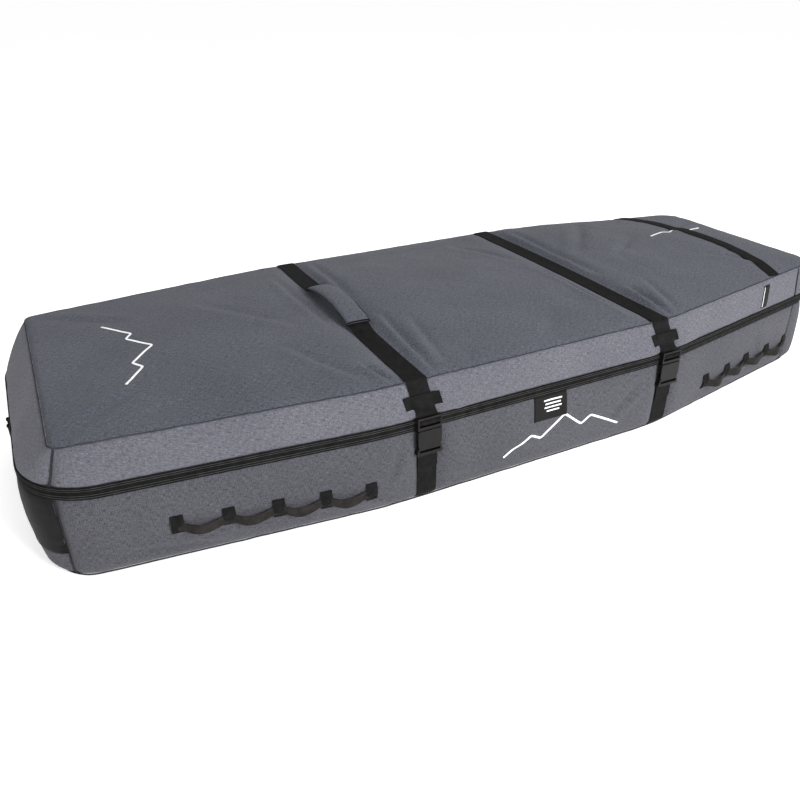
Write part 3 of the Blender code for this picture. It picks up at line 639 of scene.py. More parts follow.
def base_wall(side, puff, seed):
    """One side of the base, from under the rounded bottom edge up to the zip tape."""
    turn = np.linspace(0, math.pi / 2, 6)[:-1]
    upright = np.linspace(ROUND_BOTTOM + 0.0012, BASE_TOP + BEHIND_LOWER_TAPE, 20)
    heights = np.concatenate([0.0012 + ROUND_BOTTOM * (1 - np.cos(turn)), upright])
    tuck = np.concatenate([ROUND_BOTTOM * (1 - np.sin(turn)), np.zeros(20)])
    points, normals = wall_grid(RUNS[side], heights, np.zeros_like(heights))
    points -= normals * tuck[:, None, None]
    along = seam_distance(points)
    high = (heights[-1] - heights)[:, None]
    low = (heights + 0.010)[:, None]
    across = np.minimum(low, high) * np.ones_like(along)
    hold, swell = held_by_straps(side, points)
    offset = padded_offset(points, along, across, puff, seed, 0.0018 * swell)
    belly = np.sin(math.pi * np.clip(heights / BASE_TOP, 0, 1))[:, None]
    offset += 0.0050 * belly * (1 - np.exp(-along / 0.05))
    if side == "front":
        offset += sum(crease(points[..., [0, 2, 1]], *fold) for fold in FRONT_FOLDS)
    # The bottom edge stays where the ground holds it
    offset = (offset * (1 - hold) - PULLED_IN * hold) * np.clip(heights / 0.020, 0, 1)[:, None]
    return points + normals * offset[..., None]


# Folds of the front wall, as (x, z) start and end, width and depth
FRONT_FOLDS = [
    ((-0.740, 0.040), (-0.560, 0.018), 0.0060, 0.0022),
    ((-0.690, 0.075), (-0.500, 0.040), 0.0080, 0.0012),
    ((-0.430, 0.030), (-0.290, 0.012), 0.0070, 0.0020),
    ((S1 + 0.030, 0.100), (S1 + 0.090, 0.050), 0.0070, 0.0026),
    ((S1 - 0.030, 0.130), (S1 - 0.055, 0.060), 0.0070, 0.0022),
    ((S1 + 0.035, 0.045), (S1 + 0.120, 0.020), 0.0070, 0.0018),
    ((-0.080, 0.060), (0.060, 0.022), 0.0090, 0.0014),
    ((S2 - 0.035, 0.120), (S2 - 0.110, 0.060), 0.0080, 0.0022),
    ((S2 + 0.030, 0.090), (S2 + 0.045, 0.025), 0.0070, 0.0026),
    ((0.400, 0.050), (0.560, 0.024), 0.0090, 0.0016),
    ((0.620, 0.120), (0.660, 0.050), 0.0100, 0.0016),
]


def make_panels():
    sides = (("front", 0.0042), ("back", 0.0036), ("nose", 0.0050), ("tail", 0.0055))
    panels = []
    # The base's walls and the lid's top take the darker copies of the cloth: painted shade.
    for seed, (side, puff) in enumerate(sides):
        gusset, wall = gusset_panel(side, puff, 20 + 5 * seed), base_wall(side, puff, 60 + 5 * seed)
        panels.append(("lid", f"lid_{side}", gusset, CLOTH, WALL_THICK, f"lid_{side}_gusset"))
        panels.append(("base", f"base_{side}", wall, WALL_CLOTH_PAINTED_SHADE, WALL_THICK, f"{side}_wall"))
    panels.append(("lid", "lid_top", lid_top_panel(), TOP_CLOTH_PAINTED_SHADE, TOP_THICK, "lid_top_panel"))
    for body, name, points, finish, thickness, node in panels:
        piece = grid_object(f"{name}_cloth", points, finish, thickness)
        keep_tree(name, piece)
        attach(piece, body)
        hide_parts(node)


make_panels()


# --- Linings, bottom and edges ------------------------------------------------------------------


def strip_points(run, rows, closed=False):
    """A strip along the plan: each row is (height, distance in from the plan, share of the lid's plan)."""
    index = np.arange(TOTAL) if closed else run_indices(run)
    points = []
    for z, inwards, share in rows:
        flat, out = (values[index] for values in plan_at(z, share))
        points.append(np.column_stack([flat - out * inwards, np.full(len(flat), z)]))
    return np.array(points)


def plan_sheet(plan, height, inset, columns, wave, seed):
    """A sheet inside a plan outline, as cross-strips, with a little unevenness."""
    edge = plan[SIDE_RUN]
    across = np.linspace(-1, 1, columns)[:, None]
    x = np.clip(edge[:, 0], edge[0, 0] + inset, edge[-1, 0] - inset)[None, :] * np.ones_like(across)
    y = (-edge[:, 1] - inset)[None, :] * across
    points = np.stack([x, y, np.zeros_like(x)], -1)
    points[..., 2] = height(x, y) + wave * noise_at(points, 0.12, seed)
    return points


def finish_piece(piece, body, slot, *nodes):
    """Fixes a piece to its body, in place of the CAD nodes it stands for. Its slot is not used."""
    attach(piece, body)
    if nodes:
        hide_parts(*nodes)
    return piece


def quilt(x, y):
    """Shallow channels sewn across the padded floor, 110 mm apart."""
    return -0.0016 * np.exp(-(((x % 0.11) - 0.055) / 0.004) ** 2)


def side_lining(name, body, rows):
    """A lining that follows the plan all round."""
    made = grid_object(name, strip_points(None, rows, True), LINING, flip=True, closed=True)
    finish_piece(made, body, "foam")


def make_linings():
    foam_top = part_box("floor_foam")[1].z
    wall_in = 0.0078
    rim = [
        (foam_top - 0.001, wall_in + 0.004, 0), (foam_top + 0.003, wall_in + 0.0012, 0), (0.05, wall_in, 0),
        (0.10, wall_in, 0), (BASE_TOP - 0.008, wall_in, 0), (BASE_TOP - 0.001, wall_in - 0.0008, 0),
        (BASE_TOP + 0.0010, 0.0050, 0), (BASE_TOP + 0.0008, 0.0030, 0),
    ]
    lid_rim = [
        (LID_BOTTOM - 0.0006, 0.0022, 0), (LID_BOTTOM - 0.0008, 0.0045, 0),
        (LID_BOTTOM + 0.0030, 0.0066, 0.05), (0.200, 0.0068, 0.45),
        (SEAM_Z - 0.011, 0.0076, 0.85), (SEAM_Z - 0.007, 0.012, 0.95),
    ]
    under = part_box("lid_foam")[1].z - TOP_HIGH.z - 0.006

    def under_lid(x, y):
        return crown(x, y) + under - 0.7 * VALLEY * strap_valley(x)

    side_lining("base_lining", "base", rim)
    floor = plan_sheet(FLOOR_PLAN, lambda x, y: foam_top + quilt(x, y), 0.0095, 41, 0.0004, 5)
    finish_piece(grid_object("floor_lining", floor, LINING, LINING_THICK), "base", "foam", "floor_foam")
    ceiling = plan_sheet(LID_PLAN, under_lid, 0.0085, 41, 0.0006, 6)
    ceiling = grid_object("lid_lining", ceiling, LINING, LINING_THICK, flip=True)
    finish_piece(ceiling, "lid", "foam", "lid_foam")
    side_lining("lid_side_lining", "lid", lid_rim)
    bottom = plan_sheet(FLOOR_PLAN, lambda x, y: 0.0012 + 0 * x, 0.0128, 41, 0.0, 7)
    bottom[..., 2] = 0.0010 - 0.0006 * np.clip(noise_at(bottom, 0.15, 8), -1, 1)
    bottom = grid_object("bottom_cloth", bottom, BLACK_CLOTH, LINING_THICK, flip=True)
    finish_piece(bottom, "base", "coated_cloth", "base_floor")


# --- Tubes and bands ----------------------------------------------------------------------------


def sweep(name, sections, finish, looped=False):
    """A strip through closed sections (stations, around, 3), with capped ends unless it is a loop."""
    stations, around = sections.shape[:2]
    index = np.arange(stations * around).reshape(stations, around)
    ahead = np.roll(index, -1, 0) if looped else index[1:]
    behind = index if looped else index[:-1]
    quads = np.stack([behind, np.roll(behind, -1, 1), np.roll(ahead, -1, 1), ahead], -1)
    quads = quads.reshape(-1, 4).tolist()
    if not looped:
        quads += [index[0][::-1].tolist(), index[-1].tolist()]
    mesh = bpy.data.meshes.new(name)
    mesh.from_pydata(sections.reshape(-1, 3).tolist(), [], quads)
    ring = np.linalg.norm(np.roll(sections, -1, 1) - sections, axis=-1).mean(0)
    along = np.linalg.norm(np.roll(sections, -1, 0) - sections, axis=-1).mean(1)
    u, v = np.concatenate([[0], np.cumsum(ring)]), np.concatenate([[0], np.cumsum(along)])
    uv = []
    for row in range(stations if looped else stations - 1):
        for column in range(around):
            near, far = (u[column], v[row]), (u[column + 1], v[row + 1])
            uv += [near, (far[0], near[1]), far, (near[0], far[1])]
    if not looped:
        uv += [(u[k], 0) for k in range(around)] * 2
    mesh.uv_layers.new(name="UVMap").data.foreach_set("uv", np.array(uv, np.float32).ravel())
    mesh.shade_smooth()
    mesh.set_sharp_from_angle(angle=math.radians(50))
    made = place(name, mesh, finish)
    bm = bmesh.new()
    bm.from_mesh(mesh)
    bmesh.ops.recalc_face_normals(bm, faces=bm.faces)
    bm.to_mesh(mesh)
    bm.free()
    return made


def tube(name, path, radius, finish, sides=6, looped=False):
    """A round cord along a path."""
    path = np.asarray(path, float)
    ahead = np.roll(path, -1, 0) - np.roll(path, 1, 0) if looped else np.gradient(path, axis=0)
    ahead /= np.linalg.norm(ahead, axis=1)[:, None]
    up = np.where(np.abs(ahead[:, 2:]) > 0.9, np.array([[1.0, 0, 0]]), np.array([[0, 0, 1.0]]))
    side = np.cross(ahead, up)
    side /= np.linalg.norm(side, axis=1)[:, None]
    top = np.cross(side, ahead)
    turn = 2 * np.pi * np.arange(sides) / sides
    ring = np.cos(turn)[None, :, None] * side[:, None] + np.sin(turn)[None, :, None] * top[:, None]
    return sweep(name, path[:, None] + radius * ring, finish, looped)


def smoothed(values, passes=2):
    """Each point averaged with its neighbours along the first axis, ends kept."""
    values = np.array(values, float)
    for _ in range(passes):
        values[1:-1] = (values[:-2] + 2 * values[1:-1] + values[2:]) / 4
    return values


def band(name, rows, outs, finish, thickness=0.0020, rim=0.0006):
    """Webbing whose underside is the grid `rows` (stations, across, 3); its edges are thinner by the rim."""
    rows, outs = np.asarray(rows, float), np.asarray(outs, float)
    columns = rows.shape[1]
    share = np.abs(np.linspace(-1, 1, columns))[None, :, None]
    edge = rim * share**6
    top = rows + outs * (thickness - edge)
    under = rows + outs * edge
    return sweep(name, np.concatenate([top, under[:, ::-1]], 1), finish)


def row_normals(rows, toward):
    """Directions square to a grid of points, on the side given."""
    a = np.gradient(rows, axis=0)
    b = np.gradient(rows, axis=1)
    n = np.cross(a, b)
    n /= np.linalg.norm(n, axis=-1)[..., None] + 1e-12
    flip = np.sign((n * np.asarray(toward)).sum(-1))
    return n * np.where(flip == 0, 1, flip)[..., None]


# --- Seams, zip and trims -----------------------------------------------------------------------


def jitter(path, amount, size, seed):
    """A path with small sewn unevenness."""
    return path + amount * np.stack([noise_at(path, size, seed + k) for k in range(3)], -1)


def corner_path(at, heights, lid, inset):
    """Up a corner of the plan, from its place in the plan and the inset at each height."""
    path = []
    for z in heights:
        flat, out = (values[at] for values in plan_at(z, lid_share(z) if lid else 0.0))
        path.append((*(flat - out * inset(z)), z))
    return np.array(path)


def make_seams():
    """Dark cords where the panels meet: painted shade of the seams' grooves along the top and up the corners,
    and a dark piping round the bottom.
    """
    height = np.ones((TOTAL, 1))
    # The dark cord along the top seam is painted shade of the seam's groove.
    top = np.hstack([LID_PLAN - LID_NORMALS * 0.0006, height * (SEAM_Z - 0.0012)])
    top = tube("lid_top_seam_shade", jitter(top, 0.0007, 0.030, 90), 0.0010, SEAM_SHADE_AND_PIPING, looped=True)
    finish_piece(top, "lid", "webbing")
    low = jitter(np.hstack([FLOOR_PLAN - FLOOR_NORMALS * 0.0062, height * 0.0032]), 0.0006, 0.030, 94)
    low[:, 2] = np.maximum(low[:, 2], 0.0022)
    finish_piece(tube("bottom_piping", low, 0.0013, SEAM_SHADE_AND_PIPING, looped=True), "base", "webbing")
    # The dark cords up the corners are painted shade of the seams' grooves.
    corners = (("tail_front", TAIL_SEAM), ("tail_back", TOTAL - TAIL_SEAM),
               ("nose_front", NOSE_SEAM), ("nose_back", TOTAL - NOSE_SEAM))
    for number, (name, at) in enumerate(corners):
        lid = corner_path(at, np.linspace(LID_BOTTOM, SEAM_Z - 0.002, 16), True, lambda z: 0.0010)
        base = corner_path(at, np.linspace(0.004, BASE_TOP, 22), False,
                           lambda z: 0.0010 + 0.012 * max(0, 1 - z / 0.012) ** 2)
        for body, path in (("lid", jitter(lid, 0.0012, 0.012, 100 + number)),
                           ("base", jitter(base, 0.0007, 0.016, 110 + number))):
            finish_piece(tube(f"{body}_{name}_seam", path, 0.0011, SEAM_SHADE_AND_PIPING), body, "webbing")


def ridged(low, high, ridges, depth, stand):
    """Rows of a tape that stands off the plan, with fine ridges along it."""
    count = ridges * 6
    rows = []
    for i in range(count + 1):
        share = i / count
        lift = depth * max(0.0, math.cos(2 * math.pi * ridges * share)) ** 3
        rows.append((low + (high - low) * share, -(stand + lift), 0.0))
    return rows


def make_teeth(name, path, first, side):
    """The coil's teeth along one tape, every second one of the pair."""
    along = lengths(path)
    at = np.arange(first, along[-1] - 0.004, TOOTH_PITCH)
    centre = sample(path, along, at)
    ahead = sample(path, along, at + 0.001) - centre
    ahead /= np.linalg.norm(ahead, axis=1)[:, None]
    size = Matrix.Diagonal((0.0008, 0.0014, 0.0034, 1.0))
    bm = bmesh.new()
    for c, a in zip(centre, ahead):
        turn = Matrix((Vector(a), Vector((a[1], -a[0], 0)), Vector((0, 0, 1)))).transposed().to_4x4()
        where = Matrix.Translation(Vector(c) + Vector((0, 0, side * 0.0008)))
        bmesh.ops.create_cube(bm, size=1.0, matrix=where @ turn @ size)
    return place(name, from_bmesh(name, bm), COIL)


def make_zip():
    """Two ridged tapes that bow out over the coil, and the coil's teeth between them."""
    split = (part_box("lower_zip_tape")[1].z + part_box("upper_zip_tape")[0].z) / 2
    cover = 0.0016
    halves = (("base", "lower", -1, BASE_TOP + 0.0010, split - cover),
              ("lid", "upper", 1, split + cover, LID_BOTTOM - 0.0015))
    for body, half, _, low, high in halves:
        tape = strip_points(ZIP_RUN, ridged(low, high, 3, 0.0011, 0.0014))
        tape = grid_object(f"{half}_zip_tape_cloth", tape, TAPE, 0.0018)
        finish_piece(tape, body, "webbing", f"{half}_zip_tape")
    # Thin cords along the tapes, in the lighter ridge colour: painted highlight of the tapes' ridges.
    ridges = (("base", -0.0080), ("base", -0.0040), ("lid", 0.0040), ("lid", 0.0074))
    for number, (body, z) in enumerate(ridges, 1):
        cord = strip_points(ZIP_RUN, [(split + z, -0.0022, 0.0)])[0]
        cord = jitter(cord, 0.0002, 0.02, 130 + number)
        finish_piece(tube(f"zip_ridge_highlight_{number}", cord, 0.0006, RIDGE_HIGHLIGHT, 5), body, "webbing")
    coil = strip_points(ZIP_RUN, [(split, -0.0002, 0.0)])[0]
    for body, half, side, _, _ in halves:
        first = 0.004 + (TOOTH_PITCH / 2 if side > 0 else 0.0)
        finish_piece(make_teeth(f"{half}_teeth", coil, first, side), body, "black_plastic")


def make_tail_panel():
    """The black reinforcement over the upper part of the tail wall."""
    heights = np.linspace(0.046, BASE_TOP + 0.0010, 26)
    points, normals = wall_grid(RUNS["tail"], heights, np.zeros_like(heights))
    offset = np.full(points.shape[:2], 0.0)
    for i in range(points.shape[0]):
        for j in range(points.shape[1]):
            start = Vector(points[i, j] + normals[i, j] * 0.05)
            hit, _, _, distance = TREES["base_tail"].ray_cast(start, Vector(-normals[i, j]))
            offset[i, j] = 0.05 - distance if hit is not None else 0.003
    lip = np.clip((heights - heights[0]) / 0.004, 0, 1)[:, None]
    points += normals * (offset + 0.0005 + 0.0009 * lip)[..., None]
    panel = grid_object("tail_reinforcement", points, BLACK_CLOTH, 0.0012)
    keep_tree("tail_panel", panel)
    finish_piece(panel, "base", "coated_cloth", "tail_panel")


def hinge_rows(bottom, top, count=17):
    """Rows of the cloth along the back, which bows out a little at its middle height."""
    heights = np.linspace(bottom, top, count)
    bow = 0.0010 + 0.0008 * np.sin(math.pi * (heights - HINGE_LOW) / (HINGE_HIGH - HINGE_LOW))
    return [(z, -out, 0.0) for z, out in zip(heights, bow)]


def make_hinge():
    """The cloth along the back: one strip where the lid turns, and halves that part where the bag tapers."""
    start, stop = RUNS["back"]
    whole = hinge_rows(HINGE_LOW, HINGE_HIGH)
    edge = strip_points(RUNS["back"], whole)[0, :, 1]
    near = np.nonzero(edge > edge.max() - TAPER_SPLIT)[0]
    first, last = start + int(near[0]), start + int(near[-1])
    strip = grid_object("hinge_cloth", strip_points((first, last), whole), BLACK_CLOTH, 0.0014)
    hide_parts("hinge_strip")
    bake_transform(strip)
    halves = (("base", HINGE_LOW, HINGE.z - 0.0003), ("lid", HINGE.z + 0.0003, HINGE_HIGH))
    for number, run in enumerate(((start, first), (last, stop)), 1):
        for body, bottom, top in halves:
            half = strip_points(run, hinge_rows(bottom, top, 9))
            half = grid_object(f"{body}_back_edge_{number}", half, BLACK_CLOTH, 0.0014)
            finish_piece(half, body, "coated_cloth")


# --- Straps -------------------------------------------------------------------------------------


def drape_vertical(x, heights, toward, names, clearance):
    """Points down the front (-1) or the back (1) of the bag, over a strap's width, at the x of x(z)."""
    rows = lay(names, heights, lambda z: x(z) + ACROSS * STRAP_WIDTH, clearance, toward)
    # Webbing is stiff across: it bridges small dips, and follows the cloth only softly
    level = toward * (toward * rows[..., 1]).max(1, keepdims=True)
    rows[..., 1] = 0.35 * rows[..., 1] + 0.65 * level
    return rows


def drape_top(x, stations, width=STRAP_WIDTH):
    """Points across the lid, over a strap's width, at the x of x(y)."""
    rows = [[(px, y, top_z(px, y) + SEWN_GAP) for px in x(y) + ACROSS * width] for y in stations]
    rows = np.array(rows)
    rows[..., 2] = 0.4 * rows[..., 2] + 0.6 * rows[..., 2].max(1, keepdims=True)
    return rows


def grip_lift(y):
    """Height of the first strap's underside where it arches through the handle."""
    share = np.clip(1 - ((y - GRIP_Y) / ((GRIP_HIGH.y - GRIP_LOW.y) / 2 + 0.020)) ** 2, 0, None)
    rest = crown(np.full_like(y, STRAPS[0]), y) + 0.0015
    return np.where(share > 0, rest - VALLEY * 0.95 + 0.021 * share**0.75, -1.0)


def make_straps():
    for number, (x, buckle_x) in enumerate(zip(STRAPS, BUCKLES), 1):
        make_top_strap(number, x, buckle_x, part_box(f"latch_{number}"))
        make_lower_strap(number, buckle_x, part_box(f"socket_{number}"))
        make_back_strap(number, x)
        make_keeper(number)


def make_top_strap(number, x, buckle_x, latch):
    """From above the hinge, over the lid and down into the buckle's ladder lock."""
    fold_z = SEAM_Z - 0.008
    edge = half_width(x) - LID_SIDE_IN
    back = drape_vertical(lambda z: x, np.linspace(0.186, fold_z, 8), 1, ("lid_back",), SEWN_GAP)
    top = drape_top(lambda y: x, np.linspace(edge - 0.012, -edge + 0.012, 64))
    if number == 1:
        top[..., 2] = np.maximum(top[..., 2], grip_lift(top[..., 1]))
    front_z = np.linspace(fold_z, latch[1].z + 0.006, 9)
    front = drape_vertical(lambda z: strap_lines(z, True)[number - 1], front_z, -1, ("lid_front",), SEWN_GAP)
    arcs = []
    turn = 0.0055
    centre_z = SEAM_Z + 0.0012 - turn
    for side in (1, -1):
        centre_y = side * (edge + 0.0016 - turn)
        angles = np.linspace(0, math.pi / 2, 7)[::side]
        bend = [(centre_y + side * turn * math.cos(a), centre_z + turn * math.sin(a)) for a in angles]
        arcs.append([[(px, y, z) for px in back[0][:, 0]] for y, z in bend])
    path = smoothed(np.concatenate([back, arcs[0], top, arcs[1], front]), 3)
    outs = row_normals(path, (0, 0, 1))
    outward = np.stack([np.zeros(path.shape[:2]), np.sign(path[..., 1]), np.ones(path.shape[:2]) * 0.6], -1)
    outs *= np.sign((outs * outward).sum(-1))[..., None]
    strap = band(f"strap_{number}_webbing", path, smoothed(outs, 2), WEBBING)
    finish_piece(strap, "lid", "webbing", f"strap_{number}_top")
    # Into the lock: over its middle bar and back down behind it
    middle, lock_top = (latch[0].y + latch[1].y) / 2, latch[1].z
    bars = ((latch[1].y - 0.0005, lock_top - 0.0010), (middle, lock_top - 0.0050),
            (latch[0].y - 0.0006, lock_top - 0.0085), (latch[0].y - 0.0010, lock_top - 0.0115))
    lock = [[(px, y, z) for px in buckle_x + ACROSS * STRAP_WIDTH * 0.985] for y, z in bars]
    end = resample(np.array([path[-1], (path[-1] + np.array(lock[0])) / 2, *lock]), 0.0016)
    loop = band(f"strap_{number}_lock_loop", end, row_normals(end, (0, -1, 0.35)), WEBBING, 0.0018)
    finish_piece(loop, "lid", "webbing")


def resample(rows, step):
    """Stations spread evenly along a grid's middle line."""
    along = lengths(rows[:, rows.shape[1] // 2])
    at = np.linspace(0, along[-1], max(3, int(along[-1] / step)))
    return smoothed(sample(rows.reshape(len(rows), -1), along, at).reshape(len(at), -1, 3), 2)


def make_lower_strap(number, x, socket):
    """Up the front wall to the socket, with its end folded over and sewn down on itself."""
    heights = np.linspace(0.0030, socket[0].z + 0.002, 26)
    under = drape_vertical(lambda z: x, heights, -1, ("base_front",), SEWN_GAP)
    curl = under[:1].repeat(3, 0)
    curl[:, :, 1] += np.array([0.020, 0.010, 0.004])[:, None]
    curl[:, :, 2] = np.array([0.0004, 0.0005, 0.0012])[:, None]
    path = smoothed(np.concatenate([curl, under]), 2)
    strap = band(f"lower_strap_{number}_webbing", path, row_normals(path, (0, -1, -0.2)), WEBBING)
    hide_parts(f"strap_{number}_front")
    heights = np.linspace(socket[0].z - 0.034, socket[0].z + 0.003, 14)
    over = drape_vertical(lambda z: x, heights, -1, ("base_front",), 0.0027)
    over[0, :, 1] += 0.0012
    fold = band(f"lower_strap_{number}_fold", smoothed(over, 1), row_normals(over, (0, -1, 0)), WEBBING)
    for piece in (strap, fold):
        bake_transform(piece)


def make_back_strap(number, x):
    """Up the back wall and over the hinge line onto the lid."""
    rows = drape_vertical(lambda z: x, np.linspace(0.0030, 0.190, 48), 1, ("base_back", "lid_back"), 0.0024)
    rows = smoothed(rows, 3)
    strap = band(f"back_strap_{number}_webbing", rows, row_normals(rows, (0, 1, 0)), WEBBING)
    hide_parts(f"strap_{number}_back")
    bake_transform(strap)


def make_keeper(number):
    """A short band sewn at both sides of the strap, which slides under it."""
    low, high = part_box(f"keeper_{number}")
    across = np.linspace(-1, 1, 33) * KEEPER_REACH
    inner = STRAP_WIDTH / 2 + 0.0008
    over = 1 / (1 + np.exp((np.abs(across) - inner - 0.0008) / 0.0007))
    heights = np.linspace(low.z, high.z, 7)
    stand = 0.0005 + 0.0026 * over
    rows = lay(("lid_front",), heights, lambda z: strap_lines(z, True)[number - 1] + across, stand)
    # Across the strap the band lies as high as its highest point
    covered = np.abs(across) < inner
    level = rows[:, covered, 1].min(1, keepdims=True)
    rows[:, covered, 1] = 0.3 * rows[:, covered, 1] + 0.7 * level
    turned = rows.transpose(1, 0, 2)
    made = band(f"keeper_{number}_webbing", turned, row_normals(turned, (0, -1, 0)), WEBBING, 0.0015, 0.0004)
    finish_piece(made, "lid", "webbing", f"keeper_{number}")
    stitches = []
    for side in (-1, 1):
        for offset in (0.0035, 0.0110):
            column = int(np.argmin(np.abs(across - side * (KEEPER_REACH - offset))))
            stitches += dashes(rows[:, column] + np.array([0, -0.0017, 0]), 0.0030, 0.0016, (0, -1, 0))
    finish_piece(stitch_object(f"keeper_{number}_stitching", stitches), "lid", "webbing")


def dashes(path, pitch, length, out):
    """Stitches along a path: (start, end, outward direction) for each."""
    along = lengths(path)
    return [(sample(path, along, start), sample(path, along, start + length), np.array(out, float))
            for start in np.arange(pitch * 0.3, along[-1] - length, pitch)]


def stitch_object(name, stitches):
    """Thread stitches as small arched five-sided rods."""
    bm = bmesh.new()
    angles = np.arange(5) * 2 * math.pi / 5
    for a, b, out in stitches:
        length = np.linalg.norm(b - a)
        ahead = (b - a) / length
        side = np.cross(ahead, out)
        side /= np.linalg.norm(side) + 1e-12
        rings = []
        for share, size in ((0, 0.35), (0.25, 0.95), (0.75, 0.95), (1, 0.35)):
            arch = STITCH_RADIUS * (0.9 * math.sin(math.pi * share) - 0.1)
            centre, radius = a + ahead * length * share + out * arch, STITCH_RADIUS * size
            ring = [centre + radius * (math.cos(t) * side + math.sin(t) * out) for t in angles]
            rings.append([bm.verts.new(point) for point in ring])
        for first, second in zip(rings, rings[1:]):
            for k in range(5):
                bm.faces.new((first[k], first[(k + 1) % 5], second[(k + 1) % 5], second[k]))
        bm.faces.new(rings[0][::-1])
        bm.faces.new(rings[-1])
    bmesh.ops.recalc_face_normals(bm, faces=bm.faces)
    mesh = from_bmesh(name, bm)
    mesh.shade_smooth()
    return place(name, mesh, THREAD)


# --- Handle -------------------------------------------------------------------------------------


def make_handle():
    """A padded sleeve round the first strap, with a rolled edge seam along each side."""
    x, half = STRAPS[0], (GRIP_HIGH.x - GRIP_LOW.x) / 2
    share = np.linspace(0, 1, 41)
    y = np.linspace(GRIP_HIGH.y, GRIP_LOW.y, len(share))
    z = grip_lift(y) + 0.001
    out = np.stack([np.zeros_like(y), -np.gradient(z, y), np.ones_like(y)], 1)
    out /= np.linalg.norm(out, axis=1)[:, None]
    centres = np.stack([np.full_like(y, x), y, z], 1)
    swell = 0.62 + 0.38 * np.sin(math.pi * share) ** 0.5
    turn = np.linspace(0, 2 * math.pi, 24, endpoint=False)
    c, s = np.cos(turn), np.sin(turn)
    reach = half * np.copysign(np.abs(c) ** 0.55, c)
    rise = 0.0068 * swell[:, None] * np.copysign(np.abs(s) ** 0.75, s)
    sections = centres[:, None] + out[:, None] * rise[..., None]
    sections[..., 0] += reach
    wobble = noise_at(sections, 0.018, 31) * 0.0007 + noise_at(sections, 0.05, 33) * 0.0010
    middle = sections.mean(1, keepdims=True)
    away = sections - middle
    away /= np.linalg.norm(away, axis=-1)[..., None]
    # The padding takes the top's darker copy of the cloth, whose tone is painted shade.
    grip = sweep("handle_padding", sections + away * wobble[..., None], TOP_CLOTH_PAINTED_SHADE)
    finish_piece(grip, "lid", "heather_cloth", "handle_grip")
    for side, name in ((-1, "left"), (1, "right")):
        path = centres + out * 0.0004 + np.array([side * (half + 0.0002), 0, 0])
        finish_piece(tube(f"handle_{name}_edge", path, 0.0017, SEAM_SHADE_AND_PIPING, 8), "lid", "webbing")
    for number, at in ((1, 0), (2, -1)):
        ring = middle[at] + (sections[at] - middle[at]) * 1.02
        finish_piece(tube(f"handle_end_{number}", ring, 0.0014, WEBBING, 6, True), "lid", "webbing")


# --- Hand loops ---------------------------------------------------------------------------------


def loop_strip(middles):
    """Narrow webbing that hangs in four loops between its tabs, as stations across its width."""
    first, last = middles[0].x, middles[4].x
    pitch = (last - first) / 4
    count, tucked = 14, 0.010
    grid = []
    for station in range(4 * count + 1):
        share = station % count / count
        # The loop falls quickly just past its tab and rises slowly to the next
        free = np.clip((share * pitch - tucked) / (pitch - 2 * tucked), 0, 1)
        wave = math.sin(math.pi * free**0.72)
        slump = math.sin(math.pi * free) * math.exp(-1.6 * free) * 1.5
        px = first + (last - first) * station / (4 * count)
        z = float(np.interp(px, [m.x for m in middles], [m.z for m in middles]))
        slope = -(half_width(px + 0.01) - half_width(px - 0.01)) / 0.02
        out = Vector((slope, -1, 0)).normalized()
        y = side_y(("base_front",), px, z) - 0.0009 - 0.0120 * wave
        base = Vector((px, y, z - 0.0045 - 0.0040 * slump))
        lean = 0.30 * slump
        rise = (Vector((0, 0, math.cos(lean))) - out * math.sin(lean)) * LOOP_WIDTH
        grid.append([tuple(base + rise * across) for across in ACROSS])
    return smoothed(np.array(grid), 1)


def make_loop_tab(name, number, low, high):
    """A short tab over the loop strip, with a row of stitches at both ends and a cross between them."""
    middle = (low + high) / 2
    heights = np.linspace(low.z, high.z, 9)
    over = np.exp(-(((heights - middle.z) / 0.0095) ** 6))[:, None]
    stations = middle.x + ACROSS * (high.x - low.x)
    rows = lay(("base_front",), heights, lambda z: stations, 0.0004 + 0.0024 * over)
    tab = band(f"{name}_stitched_tab_{number}", rows, row_normals(rows, (0, -1, 0)), WEBBING, 0.0015, 0.0004)
    finish_piece(tab, "base", "webbing", f"{name}_tab_{number}")
    stitches = []
    for row in (1, 7):
        for shift in (-0.0012, 0.0012):
            stitches += dashes(rows[row][1:-1] + np.array([0, -0.0017, shift]), 0.0026, 0.0018, (0, -1, 0))
    for start, stop in ((1, 5), (5, 1)):
        path = np.linspace(rows[2][start], rows[6][stop], 5) + np.array([0, -0.0026, 0])
        stitches += dashes(path, 0.0030, 0.0020, (0, -1, 0))
    finish_piece(stitch_object(f"{name}_tab_{number}_stitching", stitches), "base", "webbing")


def make_hand_loops(name):
    """A row of four loops of narrow webbing between five sewn tabs."""
    tabs = [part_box(f"{name}_tab_{i}") for i in range(1, 6)]
    grid = loop_strip([(low + high) / 2 for low, high in tabs])
    web = band(f"{name}_strip", grid, row_normals(grid, (0, -1, 0)), LOOP_WEB, 0.0020, 0.0004)
    finish_piece(web, "base", "webbing", f"{name}_webbing")
    for number, (low, high) in enumerate(tabs, 1):
        make_loop_tab(name, number, low, high)


# --- Nose strap, labels and prints ---------------------------------------------------------------


